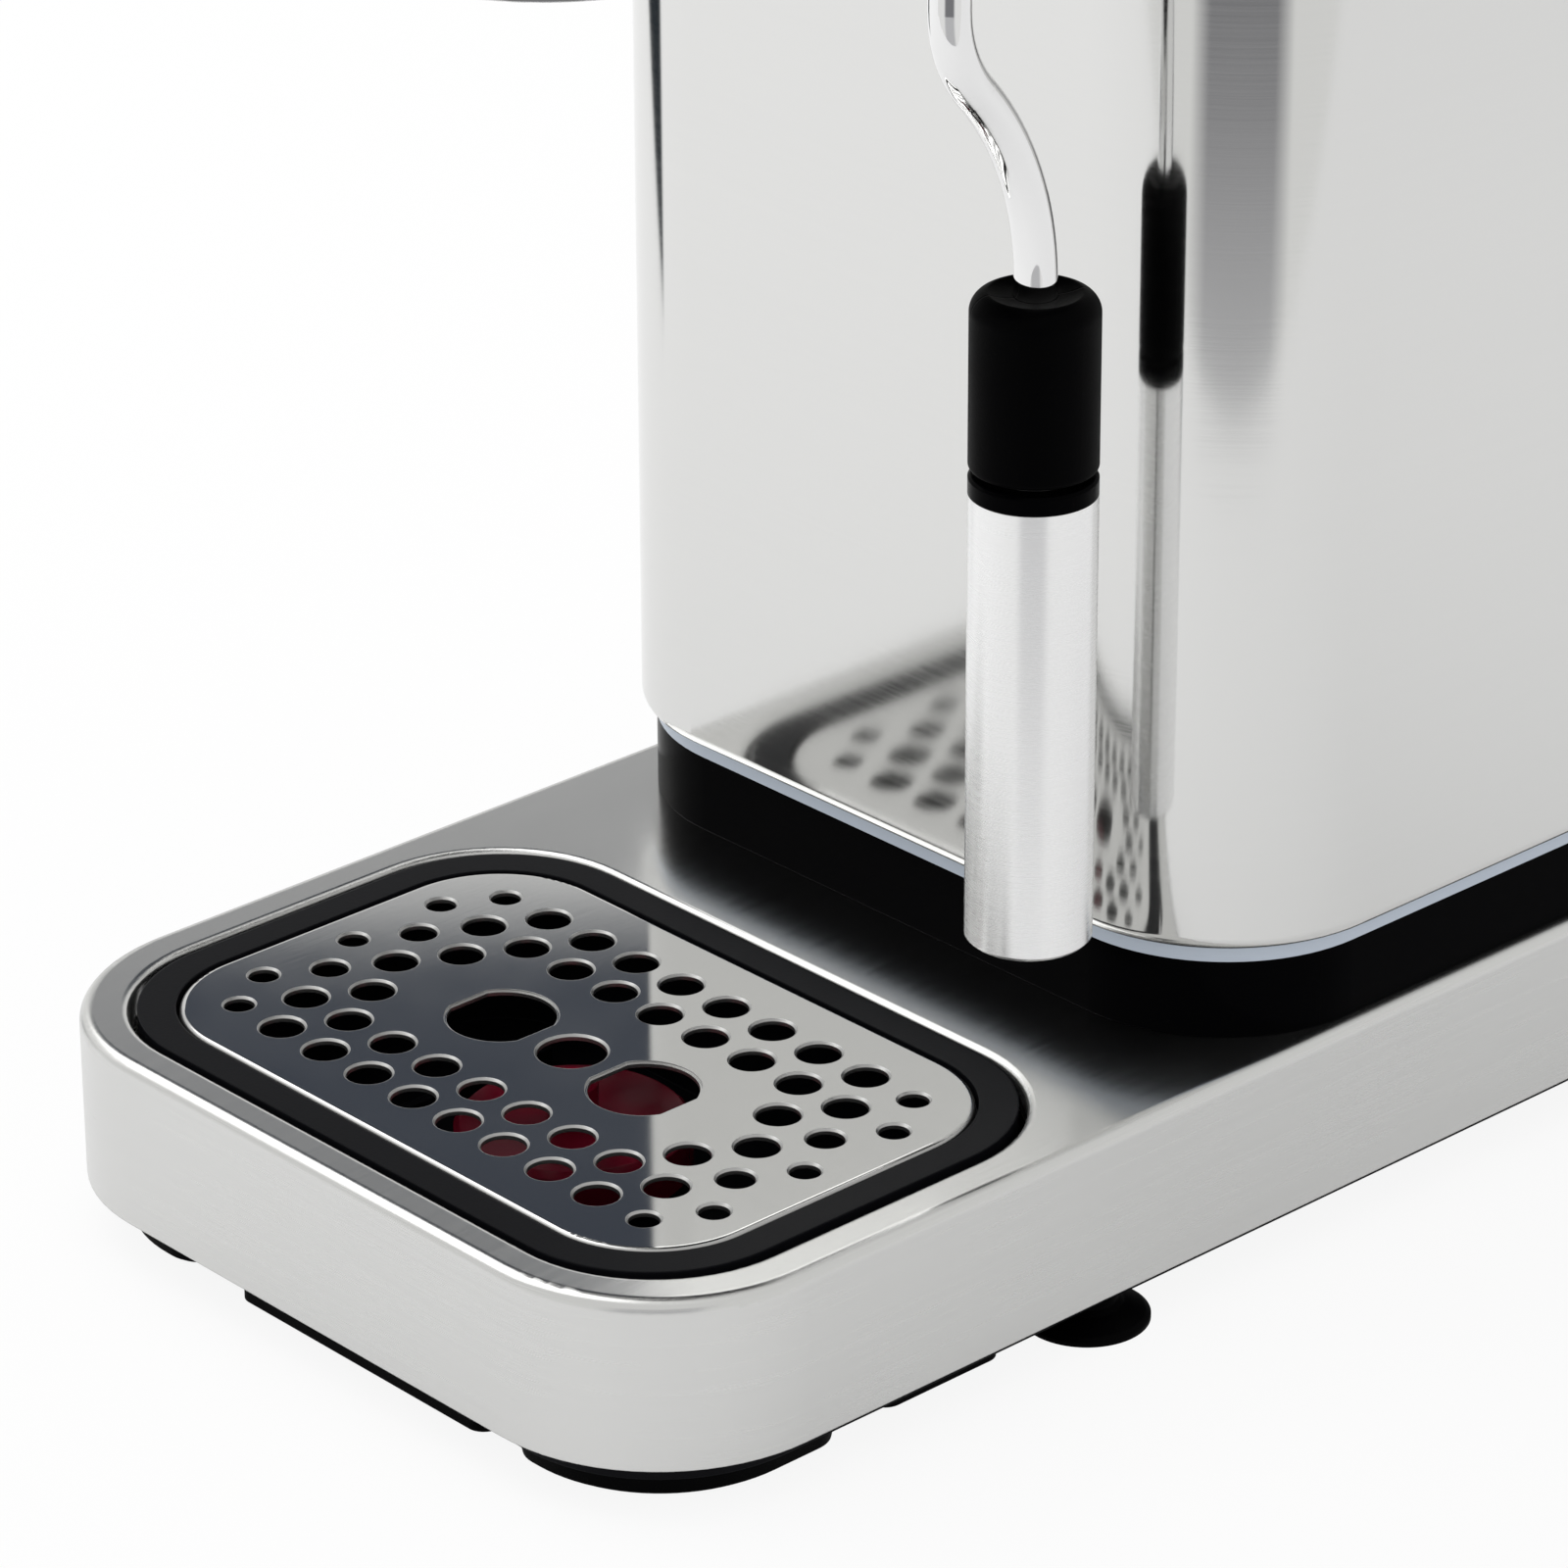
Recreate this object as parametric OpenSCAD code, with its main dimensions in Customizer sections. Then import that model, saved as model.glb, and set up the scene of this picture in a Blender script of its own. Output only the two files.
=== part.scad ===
// Slim countertop hot-drink machine with a steam wand.
// Millimetres. X is across the machine, -Y is the front, Z is up.
// The origin is on the worktop, at the centre of the base.

/* [Base] */
// Width of the base
base_w = 151.2; // [148:0.2:160]
// Length of the base, front to back
base_l = 280; // [276:1:300]
// Corner radius of the base seen from above
base_r = 31.5; // [29:0.5:33]
// Height of the deck above the worktop
deck_z = 36.5; // [34:0.5:42]
// Gap between the worktop and the lower edge of the skirt
skirt_gap = 8.5; // [7:0.5:10]
// Radius of the rounded edge between the deck and the skirt
edge_r = 2.2; // [1.8:0.2:3.4]
// Thickness of the steel sheet
sheet = 1.2; // [0.8:0.1:1.5]

/* [Drip tray] */
// Width of the tray's black frame
tray_w = 132.4; // [130:0.2:133]
// Length of the tray's black frame
tray_l = 89.8; // [88:0.2:91]
// Corner radius of the frame
tray_r = 24; // [21:0.5:26]
// Distance from the front of the base to the middle of the tray
tray_setback = 52.8; // [52:0.2:55]
// Depth of the tray below the deck
tray_depth = 25; // [22:0.5:26]
// Moulded wall of the tray
tray_wall = 1.8; // [1.4:0.1:2.2]

/* [Drip grate] */
// Width of the perforated plate
plate_w = 120.2; // [119:0.2:121]
// Length of the perforated plate
plate_l = 77.6; // [76:0.2:78]
// Corner radius of the plate
plate_r = 19; // [17:0.5:20]
// Thickness of the plate
plate_t = 1; // [0.8:0.1:1.2]
// Spacing of the holes
hole_pitch = 10.5; // [10.2:0.1:10.6]
// Diameter of the common hole
hole_d = 7; // [6:0.1:7.4]
// Diameter of the reduced holes at the ends of the short rows
hole_mid_d = 5.9; // [5:0.1:6.4]
// Diameter of the small holes at the ends of the long rows
hole_small_d = 4.8; // [4:0.1:5.2]
// Diameter of the centre hole, where the float rises
hole_centre_d = 10.9; // [10.4:0.1:11.4]
// Width of the two large holes
slot_w = 15.5; // [14.5:0.1:16]
// Length of the two large holes
slot_l = 17.2; // [16.4:0.1:17.6]
// Distance from the middle of the plate to each large hole
slot_x = 16.5; // [16:0.1:17]

/* [Float] */
// Diameter of the float's disc
float_d = 37; // [32:0.5:40]
// Depth of the disc's upper face below the deck
float_drop = 11.5; // [11:0.5:13]
// Height the float rises as the tray fills
float_travel = 7; // [4:0.5:8]

/* [Column] */
// Width of the column
column_w = 151; // [149:0.5:151]
// Corner radius of the column seen from above
column_r = 31; // [28:0.5:33]
// Distance from the middle of the tray to the column's front
column_offset = 64.8; // [63.6:0.1:66]
// Distance from the back of the base to the back of the column
column_inset = 7; // [6:0.5:9]
// Height of the black plinth
plinth_h = 13; // [11:0.5:14]
// Height of the lit strip
strip_h = 2.5; // [2:0.1:3]
// Distance the column overhangs the plinth and the strip
overhang = 2.4; // [2:0.1:3.4]
// Depth of the water tank, front to back
tank_l = 49; // [45:1:52]

/* [Head] */
// Distance from the deck to the underside of the head
cup_space = 194; // [188:1:200]
// Height of the head
head_h = 79.5; // [76:0.5:90]
// Distance from the front of the base to the front of the head
head_setback = 14; // [13.6:0.2:15]
// Height of the cup shelf's rim above the head
rim_h = 1.6; // [1.2:0.1:2]

/* [Brew group] */
// Outer diameter of the group ring
group_d = 64; // [63:0.5:66]
// Bore of the group ring
group_bore = 56; // [54:0.5:57]
// Distance the group ring hangs below the head
group_drop = 14; // [12:0.5:15]

/* [Steam wand] */
// Distance of the wand from the right side of the column
wand_edge = 16.5; // [16:0.1:17]
// Distance of the upright part from the column's front
wand_gap = 25.3; // [24.6:0.1:26]
// Outer diameter of the steel tube
tube_d = 6.4; // [6:0.1:6.6]
// Outer diameter of the froth sleeve
sleeve_d = 19.2; // [18.8:0.1:19.4]
// Height of the sleeve's lower end above the deck
sleeve_lift = 28; // [26:0.5:29]
// Length of the froth sleeve
sleeve_l = 71.8; // [70:0.1:73]
// Length of the black collar on the sleeve
collar_l = 2.9; // [2.6:0.1:3.4]
// Width of the groove between the collar and the grip
groove_w = 1; // [0.6:0.1:1.4]
// Outer diameter of the rubber grip
grip_d = 19.2; // [18.8:0.1:19.6]
// Length of the rubber grip
grip_l = 27.3; // [26:0.1:29]
// Radius of the lower bend
bend_r = 48; // [46:1:50]
// Angle of both bends
bend_a = 42; // [40:1:43]
// Radius of the upper bend
neck_r = 20; // [19:1:21]
// Diameter of the ball
ball_d = 11; // [10.6:0.1:11.2]

/* [Controls] */
// Diameter of the push buttons
button_d = 13; // [11:0.5:13.5]
// Spacing of the push buttons
button_pitch = 17; // [16.6:0.1:17.2]
// Travel of the push buttons
button_travel = 1.5; // [1:0.1:1.8]
// Diameter of the steam knob
knob_d = 27; // [24:0.5:27.5]
// Length of the steam knob
knob_l = 13; // [11:0.2:13.4]

/* [Fits] */
// Gap at each side of the tray in the deck
tray_side_gap = 1.5; // [0.8:0.1:1.8]
// Gap in front of and behind the tray in the deck
tray_gap = 0.8; // [0.6:0.1:1]
// Gap round the plate in the tray
plate_gap = 0.5; // [0.4:0.1:0.6]
// Gap round parts that slide or turn
slide_gap = 0.3; // [0.25:0.05:0.4]
// Gap round the tank
tank_gap = 0.6; // [0.5:0.1:0.8]
// Running gap of a pin in its hole, on the radius
pin_gap = 0.08; // [0.06:0.01:0.1]

/* [Hidden] */
$fa = 4;
$fs = 0.4;
eps = 0.01;
through = 400;

// Heights
pan_z = 4.5;
pan_floor = 2;
column_z = deck_z + plinth_h + strip_h;
head_z = deck_z + cup_space;
head_top = head_z + head_h;
shelf_z = column_z + 3;

// Positions from front to back
tray_y = -base_l / 2 + tray_setback;
column_y = tray_y + column_offset;
column_back = base_l / 2 - column_inset;
tank_y = column_back - tank_l;
head_y = -base_l / 2 + head_setback;
wand_x = column_w / 2 - wand_edge;
wand_y = column_y - wand_gap;
works_y = (column_y + tank_y) / 2;
gland_y = column_back - overhang + 0.5;

// Base details
opening_w = tray_w + 2 * tray_side_gap;
opening_l = tray_l + 2 * tray_gap;
opening_r = tray_r + tray_gap;
lip_h = 5;
pan_inset = 4.5;
pan_w = base_w - 2 * pan_inset;
pan_l = base_l - 2 * pan_inset;
pan_r = base_r - pan_inset;
pan_t = 2;
pan_screw_d = 4;
foot_x = base_w / 2 - 9.3;
foot_front_y = tray_y + 45.5;
foot_rear_y = base_l / 2 - 30;
foot_disc_d = 20.2;
pad_w = 13;
pad_side_l = 9;
pad_front_l = 1.5;
screw_x = pan_w / 2 - 24;
screw_ys = [column_y + 16, column_back - 34];

// Tray and grate details
ledge_drop = plate_t + 1.6;
ledge_w = 3;
bowl_w = tray_w - 3;
bowl_l = tray_l - 3;
bowl_r = tray_r - 1.5;
tray_floor_z = deck_z - tray_depth;
row_pitch = hole_pitch * sqrt(3) / 2;
countersink = 0.35;
float_top = deck_z - float_drop;
float_h = 8;
stem_d = 8;
guide_d = 4;
stem_top = deck_z - 4;

// Column and head details
wall = 2;
seam_r = 2;
foot_r = 2.4;
head_edge_r = 3;
fascia_w = 84;
fascia_h = 36;
fascia_r = 8;
fascia_z = head_z + head_h / 2 + 3;
fascia_t = 3;
button_x0 = -31;
button_z = fascia_z;
knob_x = 25.5;
shelf_front = head_y + 4;
shelf_back = tank_y - 6;
shelf_y = (shelf_front + shelf_back) / 2;
shelf_w = column_w - 8;
shelf_l = shelf_back - shelf_front;
shelf_r = column_r - 4;
group_z = head_z - group_drop;

// Tank details
tank_top = head_top - 8;
tank_t = 2.2;
hinge_y = column_back - 7;
hinge_z = head_top - 2.2;
pin_d = 2;
ear_x = 36;
ear_t = 6;

// Wand details
sleeve_z = deck_z + sleeve_lift;
collar_z = sleeve_z + sleeve_l;
grip_z = collar_z + collar_l + groove_w;
bend_z = grip_z + grip_l + 1;
neck_z = bend_z + bend_r * sin(bend_a) + neck_r * sin(bend_a);
neck_y = wand_y - (bend_r + neck_r) * (1 - cos(bend_a));
ball_z = head_z - 1;
seat_d = 15;
collar_d = 20;
collar_drop = 7;
collar_lip = 1.2;
tilt_a = 22;
mouth_r = (ball_z - head_z + collar_drop) * tan(tilt_a) + tube_d / 2 / cos(tilt_a) + 0.4;
tip_d = 11;

// ---- Shared shapes ----

// Rounded rectangle centred on the origin
module rounded(w, l, r) {
  square([w - 2 * r, l], center = true);
  square([w, l - 2 * r], center = true);
  for (sx = [-1, 1], sy = [-1, 1])
    translate([sx * (w / 2 - r), sy * (l / 2 - r)])
      circle(r);
}

// Sweeps a profile round a rounded rectangle: profile x runs outwards, profile y runs up
module swept(w, l, r) {
  for (q = [0 : 3]) {
    a = q % 2 == 0 ? w : l;
    b = q % 2 == 0 ? l : w;
    rotate([0, 0, 90 * q]) {
      translate([a / 2, b / 2 - r, 0])
        rotate([90, 0, 0])
          linear_extrude(b - 2 * r)
            children();
      translate([a / 2 - r, b / 2 - r, 0])
        rotate_extrude(angle = 90)
          translate([r, 0])
            children();
    }
  }
}

// Sheet wall of height h whose upper edge turns inwards with radius e
module turned_edge(h, e, t) {
  translate([-t, 0])
    square([t, h - e]);
  translate([-e, h - e])
    intersection() {
      difference() {
        circle(e);
        circle(e - t);
      }
      square([e, e]);
    }
}

// Solid quarter round of radius e, flat below and behind
module quarter_round(e) {
  translate([-e, 0])
    intersection() {
      circle(e);
      square([e, e]);
    }
}

// Sheet wall of height h with its lower edge turned inwards too
module both_edges(h, e_top, e_low, t) {
  translate([0, e_low])
    turned_edge(h - e_low, e_top, t);
  translate([-e_low, e_low])
    intersection() {
      difference() {
        circle(e_low);
        circle(e_low - t);
      }
      translate([0, -e_low])
        square([e_low, e_low]);
    }
}

// Outline shared by the plinth, strip, column, head and tank, shrunk by inset
module body_outline(front, inset = 0) {
  translate([0, (front + column_back) / 2])
    rounded(column_w - 2 * inset, column_back - front - 2 * inset, column_r - inset);
}

// Part of the body outline that lies behind y
module behind(y, inset) {
  intersection() {
    body_outline(column_y, inset);
    translate([-through / 2, y])
      square([through, through]);
  }
}

// Everything in front of the tank
module front_of_tank() {
  translate([-through / 2, tank_y - through])
    square([through, through]);
}

module ring(od, id, h) {
  difference() {
    cylinder(d = od, h = h);
    translate([0, 0, -eps])
      cylinder(d = id, h = h + 2 * eps);
  }
}

// Countersunk screw with its head down
module screw(d, l) {
  cylinder(d1 = 2 * d, d2 = d, h = d / 2);
  difference() {
    cylinder(d = d, h = l);
    translate([0, 0, -eps])
      cylinder(d = d / 2, h = d / 3, $fn = 6);
  }
}

// ---- Base ----

// Lip turned down into the opening
module lip_profile() {
  translate([0, -lip_h])
    square([sheet, lip_h - sheet]);
  intersection() {
    translate([sheet, -sheet])
      circle(sheet);
    translate([0, -sheet])
      square(sheet);
  }
}

module base_shell() {
  color("silver") {
    translate([0, 0, skirt_gap])
      swept(base_w, base_l, base_r)
        turned_edge(deck_z - skirt_gap, edge_r, sheet);
    translate([0, 0, deck_z - sheet])
      linear_extrude(sheet)
        difference() {
          rounded(base_w - 2 * edge_r, base_l - 2 * edge_r, base_r - edge_r);
          translate([0, tray_y])
            rounded(opening_w + 2 * sheet, opening_l + 2 * sheet, opening_r + sheet);
          translate([0, (column_y + column_back) / 2])
            square([column_w / 2, tank_l], center = true);
          for (sx = [-1, 1], y = screw_ys)
            translate([sx * screw_x, y])
              circle(d = 4.4);
        }
    translate([0, tray_y, deck_z])
      swept(opening_w, opening_l, opening_r)
        lip_profile();
  }
}

module bottom_pan() {
  tray_under = tray_floor_z - tray_wall;
  color("#1a1b1d") {
    difference() {
      translate([0, 0, pan_z])
        linear_extrude(tray_under - pan_z)
          rounded(pan_w, pan_l, pan_r);
      translate([0, 0, pan_z + pan_floor])
        linear_extrude(through)
          rounded(pan_w - 2 * pan_t, pan_l - 2 * pan_t, pan_r - pan_t);
      // vents under the pump
      for (i = [-3 : 3])
        translate([i * 9, column_y + 70, 0])
          linear_extrude(through)
            rounded(4, 40, 2 - eps);
      for (sx = [-1, 1], y = screw_ys)
        translate([sx * screw_x, y, pan_z - eps]) {
          cylinder(d = pan_screw_d + 2 * pin_gap, h = pan_floor + 2 * eps);
          cylinder(d1 = 2 * (pan_screw_d + pin_gap), d2 = pan_screw_d, h = pan_screw_d / 2 + pin_gap);
        }
    }
    // rests for the drip tray
    for (x = [-45, -15, 15, 45])
      translate([x - 1, tray_y - 34, pan_z])
        cube([2, 68, tray_under - pan_z]);
    // bridge behind the tray
    translate([-pan_w / 2 + pan_t - eps, tray_y + tray_l / 2 + 6, pan_z])
      cube([pan_w - 2 * pan_t + 2 * eps, 2, deck_z - sheet - pan_z]);
    // posts that carry the column
    for (sx = [-1, 1], y = screw_ys)
      translate([sx * screw_x, y, pan_z + pan_floor - eps])
        ring(10, pan_screw_d + 2 * pin_gap, deck_z - sheet - pan_z - pan_floor + eps);
  }
}

module pan_screws() {
  color("dimgray")
    for (sx = [-1, 1], y = screw_ys)
      translate([sx * screw_x, y, pan_z])
        screw(pan_screw_d, deck_z + 10 - pan_z);
}

// Half of the pad's section
module half_pad() {
  r = pad_w / 2;
  polygon([[0, 0], [r - 2, 0], [r - 0.8, 0.8], [r, pan_z], [0, pan_z]]);
}

module pad_section() {
  half_pad();
  mirror([1, 0])
    half_pad();
}

// Straight end of a pad, with a round tip
module pad_run(l) {
  translate([0, l, 0]) {
    rotate([90, 0, 0])
      linear_extrude(l)
        pad_section();
    rotate_extrude(angle = 180)
      half_pad();
  }
}

// Pad that follows a front corner of the pan and runs on along both sides
module corner_pad() {
  r = pan_r - 1.6 - pad_w / 2;
  translate([pan_w / 2 - pan_r, -pan_l / 2 + pan_r, 0]) {
    rotate([0, 0, -90])
      rotate_extrude(angle = 90)
        translate([r, 0])
          pad_section();
    translate([r, 0, 0])
      pad_run(pad_side_l);
    translate([0, -r, 0])
      rotate([0, 0, 90])
        pad_run(pad_front_l);
  }
}

module front_pads() {
  front_rib_z = 1.6;
  side_rib_z = 2.9;
  color("#101012") {
    corner_pad();
    mirror([1, 0, 0])
      corner_pad();
    // ribs along the front and the sides
    translate([4, -pan_l / 2 + 4, front_rib_z])
      linear_extrude(pan_z - front_rib_z)
        rounded(58, 6, 3 - eps);
    for (sx = [-1, 1])
      translate([sx * (pan_w / 2 - 4), tray_y + 12, side_rib_z])
        linear_extrude(pan_z - side_rib_z)
          rounded(6, 25, 3 - eps);
  }
}

// Suction foot: a flared disc on a short stem
module suction_foot() {
  r = foot_disc_d / 2;
  color("#0d0d0f")
    rotate_extrude()
      polygon([[0, 1.2], [r - 5, 1.2], [r - 1.2, 0], [r, 0], [r, 0.7], [r - 0.8, 1.3],
        [6, 2.8], [5, 3.6], [5, pan_z], [0, pan_z]]);
}

module foot_front_left() { translate([-foot_x, foot_front_y, 0]) suction_foot(); }
module foot_front_right() { translate([foot_x, foot_front_y, 0]) suction_foot(); }
module foot_rear_left() { translate([-foot_x + 6, foot_rear_y, 0]) suction_foot(); }
module foot_rear_right() { translate([foot_x - 6, foot_rear_y, 0]) suction_foot(); }

// ---- Drip tray ----

module drip_tray() {
  color("#16171a")
    translate([0, tray_y, 0]) {
      difference() {
        union() {
          // frame flush with the deck
          translate([0, 0, deck_z - ledge_drop - tray_wall])
            linear_extrude(ledge_drop + tray_wall)
              rounded(tray_w, tray_l, tray_r);
          translate([0, 0, tray_floor_z - tray_wall])
            linear_extrude(tray_depth - ledge_drop)
              rounded(bowl_w, bowl_l, bowl_r);
        }
        // seat of the grate
        translate([0, 0, deck_z - ledge_drop])
          linear_extrude(through)
            rounded(plate_w + 2 * plate_gap, plate_l + 2 * plate_gap, plate_r + plate_gap);
        // bowl
        translate([0, 0, tray_floor_z])
          linear_extrude(through)
            rounded(plate_w - 2 * ledge_w, plate_l - 2 * ledge_w, plate_r - ledge_w);
      }
      // rest and guide pin of the float
      translate([0, 0, tray_floor_z - eps])
        cylinder(d = stem_d, h = float_top - float_h - tray_floor_z + eps);
      translate([0, 0, float_top - float_h - eps])
        cylinder(d = guide_d, h = 7);
      // ribs on the floor
      for (sx = [-1, 1])
        translate([sx * 36 - 0.8, -26, tray_floor_z - eps])
          cube([1.6, 52, 3]);
    }
}

// Cuts one hole with a small countersink at its upper edge
module grate_hole(x, y, d) {
  translate([x, y, -through / 2])
    cylinder(d = d, h = through, $fn = 48);
  translate([x, y, -countersink])
    cylinder(d1 = d, d2 = d + 2 * countersink + 2 * eps, h = countersink + eps, $fn = 48);
}

// Row of holes: n common holes with an end hole on each side
module grate_row(row, n, end_d) {
  y = row * row_pitch;
  for (i = [0 : n - 1])
    grate_hole((i - (n - 1) / 2) * hole_pitch, y, hole_d);
  for (sx = [-1, 1])
    grate_hole(sx * (n + 1) / 2 * hole_pitch, y, end_d);
}

// Large hole with straight sides and round ends
module large_hole(x, grow, z0, h) {
  translate([x, 0, z0])
    linear_extrude(h)
      intersection() {
        circle(d = slot_l + 2 * grow);
        square([slot_w + 2 * grow, slot_l + 2 * grow], center = true);
      }
}

module drip_grate() {
  skirt_h = plate_t + 1.6;
  color("#c9cac8")
    translate([0, tray_y, deck_z])
      difference() {
        union() {
          translate([0, 0, -plate_t])
            linear_extrude(plate_t)
              rounded(plate_w - 2 * plate_t, plate_l - 2 * plate_t, plate_r - plate_t);
          translate([0, 0, -skirt_h])
            swept(plate_w, plate_l, plate_r)
              turned_edge(skirt_h, plate_t, plate_t - eps);
        }
        for (row = [-3, 3])
          grate_row(row, 8, hole_small_d);
        for (row = [-2, 2])
          grate_row(row, 9, hole_small_d);
        for (row = [-1, 1], sx = [-1, 1]) {
          grate_hole(sx * 3.5 * hole_pitch, row * row_pitch, hole_d);
          grate_hole(sx * 4.5 * hole_pitch, row * row_pitch, hole_mid_d);
        }
        for (sx = [-1, 1]) {
          grate_hole(sx * 4 * hole_pitch, 0, hole_d);
          grate_hole(sx * 5 * hole_pitch, 0, hole_small_d);
          large_hole(sx * slot_x, 0, -through / 2, through);
          large_hole(sx * slot_x, countersink, -countersink, through);
        }
        grate_hole(0, 0, hole_centre_d);
      }
}

module tray_float() {
  color("#b01420", 0.6)
    translate([0, tray_y, 0]) {
      difference() {
        union() {
          translate([0, 0, float_top - float_h])
            cylinder(d = float_d, h = float_h - 1);
          translate([0, 0, float_top - 1 - eps])
            cylinder(d1 = float_d, d2 = float_d - 2, h = 1);
          translate([0, 0, float_top - 1.5])
            cylinder(d = stem_d, h = stem_top - float_top);
          translate([0, 0, stem_top - 1.5 - eps])
            cylinder(d1 = stem_d, d2 = stem_d - 3, h = 1.5);
        }
        // open underside, so that it floats like a bell
        translate([0, 0, float_top - float_h - eps])
          difference() {
            cylinder(d = float_d - 3, h = float_h - 1.5);
            cylinder(d = stem_d, h = float_h);
          }
        translate([0, 0, float_top - float_h - eps])
          cylinder(d = guide_d + 2 * slide_gap, h = float_h + 2);
      }
    }
}

// ---- Column ----

module plinth() {
  color("#08080a")
    difference() {
      translate([0, 0, deck_z])
        linear_extrude(plinth_h)
          difference() {
            body_outline(column_y, overhang);
            body_outline(column_y, overhang + 2 * wall);
          }
      translate([0, gland_y - 3 * wall, deck_z + plinth_h / 2])
        rotate([-90, 0, 0])
          cylinder(d = 7, h = 4 * wall);
    }
}

module light_strip() {
  color("#dfe9f4", 0.9)
    translate([0, 0, deck_z + plinth_h])
      linear_extrude(strip_h)
        difference() {
          body_outline(column_y, overhang);
          body_outline(column_y, overhang + 2 * wall);
        }
}

// Polished sheet bent round the front and both sides
module column_shell() {
  l = column_back - column_y;
  color("#d9dad8")
    intersection() {
      union() {
        translate([0, (column_y + column_back) / 2, column_z])
          swept(column_w, l, column_r)
            both_edges(head_z - column_z, seam_r, foot_r, sheet);
        translate([0, 0, column_z])
          linear_extrude(sheet)
            difference() {
              body_outline(column_y, foot_r);
              body_outline(column_y, overhang + 2 * wall);
            }
      }
      linear_extrude(through)
        front_of_tank();
    }
}

// Moulded frame inside the column; its back wall closes the column towards the tank
module chassis() {
  inset = foot_r + 0.2;
  wall_w = column_w - 2 * seam_r - 0.4;
  flange_x = wall_w / 2 - wall;
  color("#2a2b2e") {
    // shelf under the column and the tank
    difference() {
      union() {
        translate([0, 0, column_z + sheet])
          linear_extrude(shelf_z - column_z - sheet)
            intersection() {
              body_outline(column_y, inset);
              front_of_tank();
            }
        translate([0, 0, column_z])
          linear_extrude(shelf_z - column_z)
            behind(tank_y, overhang);
      }
      translate([0, 0, column_z - eps])
        linear_extrude(sheet)
          difference() {
            behind(tank_y - eps, overhang + 2 * wall);
            translate([-through / 2, tank_y - 1])
              square([through, 1 + wall]);
          }
      translate([0, column_back - tank_l / 2, 0])
        cylinder(d = 16, h = through);
    }
    // back wall
    translate([-wall_w / 2, tank_y - wall, shelf_z - eps])
      cube([wall_w, wall, head_top - head_edge_r - shelf_z]);
    // side flanges
    for (sx = [-1, 1])
      translate([sx * (flange_x + wall / 2) - wall / 2, tank_y - 14, shelf_z - eps])
        cube([wall, 14, head_z - seam_r - 0.5 - shelf_z]);
    // cross plate that carries the thermoblock, on two gussets
    translate([-wall_w / 2, column_y + 30, head_z - 40])
      cube([wall_w, tank_y - column_y - 30, wall]);
    for (sx = [-1, 1])
      translate([sx * 40 + wall / 2, tank_y - wall + eps, head_z - 40 + eps])
        rotate([0, -90, 0])
          linear_extrude(wall)
            polygon([[0, 0], [0, -44], [-44, 0]]);
    // posts on the deck
    for (sx = [-1, 1], y = screw_ys)
      translate([sx * screw_x, y, deck_z])
        ring(9, 3.8, shelf_z - deck_z - 1);
  }
}

module cable_gland() {
  color("#141416")
    translate([0, gland_y, deck_z + plinth_h / 2])
      rotate([-90, 0, 0])
        difference() {
          union() {
            translate([0, 0, -6])
              cylinder(d = 6.9, h = 7);
            translate([0, 0, -0.5])
              cylinder(d = 9.5, h = 1.5);
            translate([0, 0, 1])
              cylinder(d1 = 9, d2 = 7, h = 5);
          }
          translate([0, 0, -6 - eps])
            cylinder(d = 4.5, h = 12 + 3 * eps);
        }
}

module pump() {
  color("#b9a26a")
    translate([0, works_y, shelf_z + 26])
      rotate([0, 90, 0]) {
        translate([0, 0, -26])
          cylinder(d = 34, h = 40);
        translate([0, 0, 14])
          cylinder(d = 14, h = 24);
        translate([0, 0, -38])
          cylinder(d = 11, h = 12 + eps);
      }
}

module pump_mounts() {
  color("#111113")
    for (x = [-20, 8])
      translate([x - 3, works_y - 12, shelf_z])
        difference() {
          cube([6, 24, 17]);
          translate([-eps, 12, 26])
            rotate([0, 90, 0])
              cylinder(d = 34, h = 7);
        }
}

module thermoblock() {
  color("#9fa3a6")
    translate([0, works_y, head_z - 38]) {
      cylinder(d = 46, h = 34);
      for (z = [4, 12, 20, 28])
        translate([0, 0, z])
          cylinder(d = 54, h = 2);
    }
}

module control_board() {
  color("#1e5a38")
    translate([-38, tank_y - wall - 3.6, shelf_z + 58])
      cube([76, 1.6, 54]);
  color("#3a3a3c")
    for (x = [-30, 30], z = [64, 104])
      translate([x, tank_y - wall + eps, shelf_z + z])
        rotate([90, 0, 0])
          cylinder(d = 5, h = 2 + 2 * eps);
}

// ---- Head ----

module head_shell() {
  l = column_back - head_y;
  color("silver")
    difference() {
      intersection() {
        union() {
          translate([0, (head_y + column_back) / 2, head_z])
            swept(column_w, l, column_r)
              both_edges(head_h, head_edge_r, seam_r, sheet);
          translate([0, 0, head_top - sheet])
            linear_extrude(sheet)
              difference() {
                body_outline(head_y, head_edge_r);
                translate([0, shelf_y])
                  rounded(shelf_w - 6, shelf_l - 6, shelf_r - 3);
              }
        }
        linear_extrude(through * 2)
          front_of_tank();
      }
      // window of the control panel
      translate([0, head_y + 5, fascia_z])
        rotate([90, 0, 0])
          linear_extrude(10)
            rounded(fascia_w + 0.4, fascia_h + 0.4, fascia_r + 0.2);
    }
}

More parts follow.
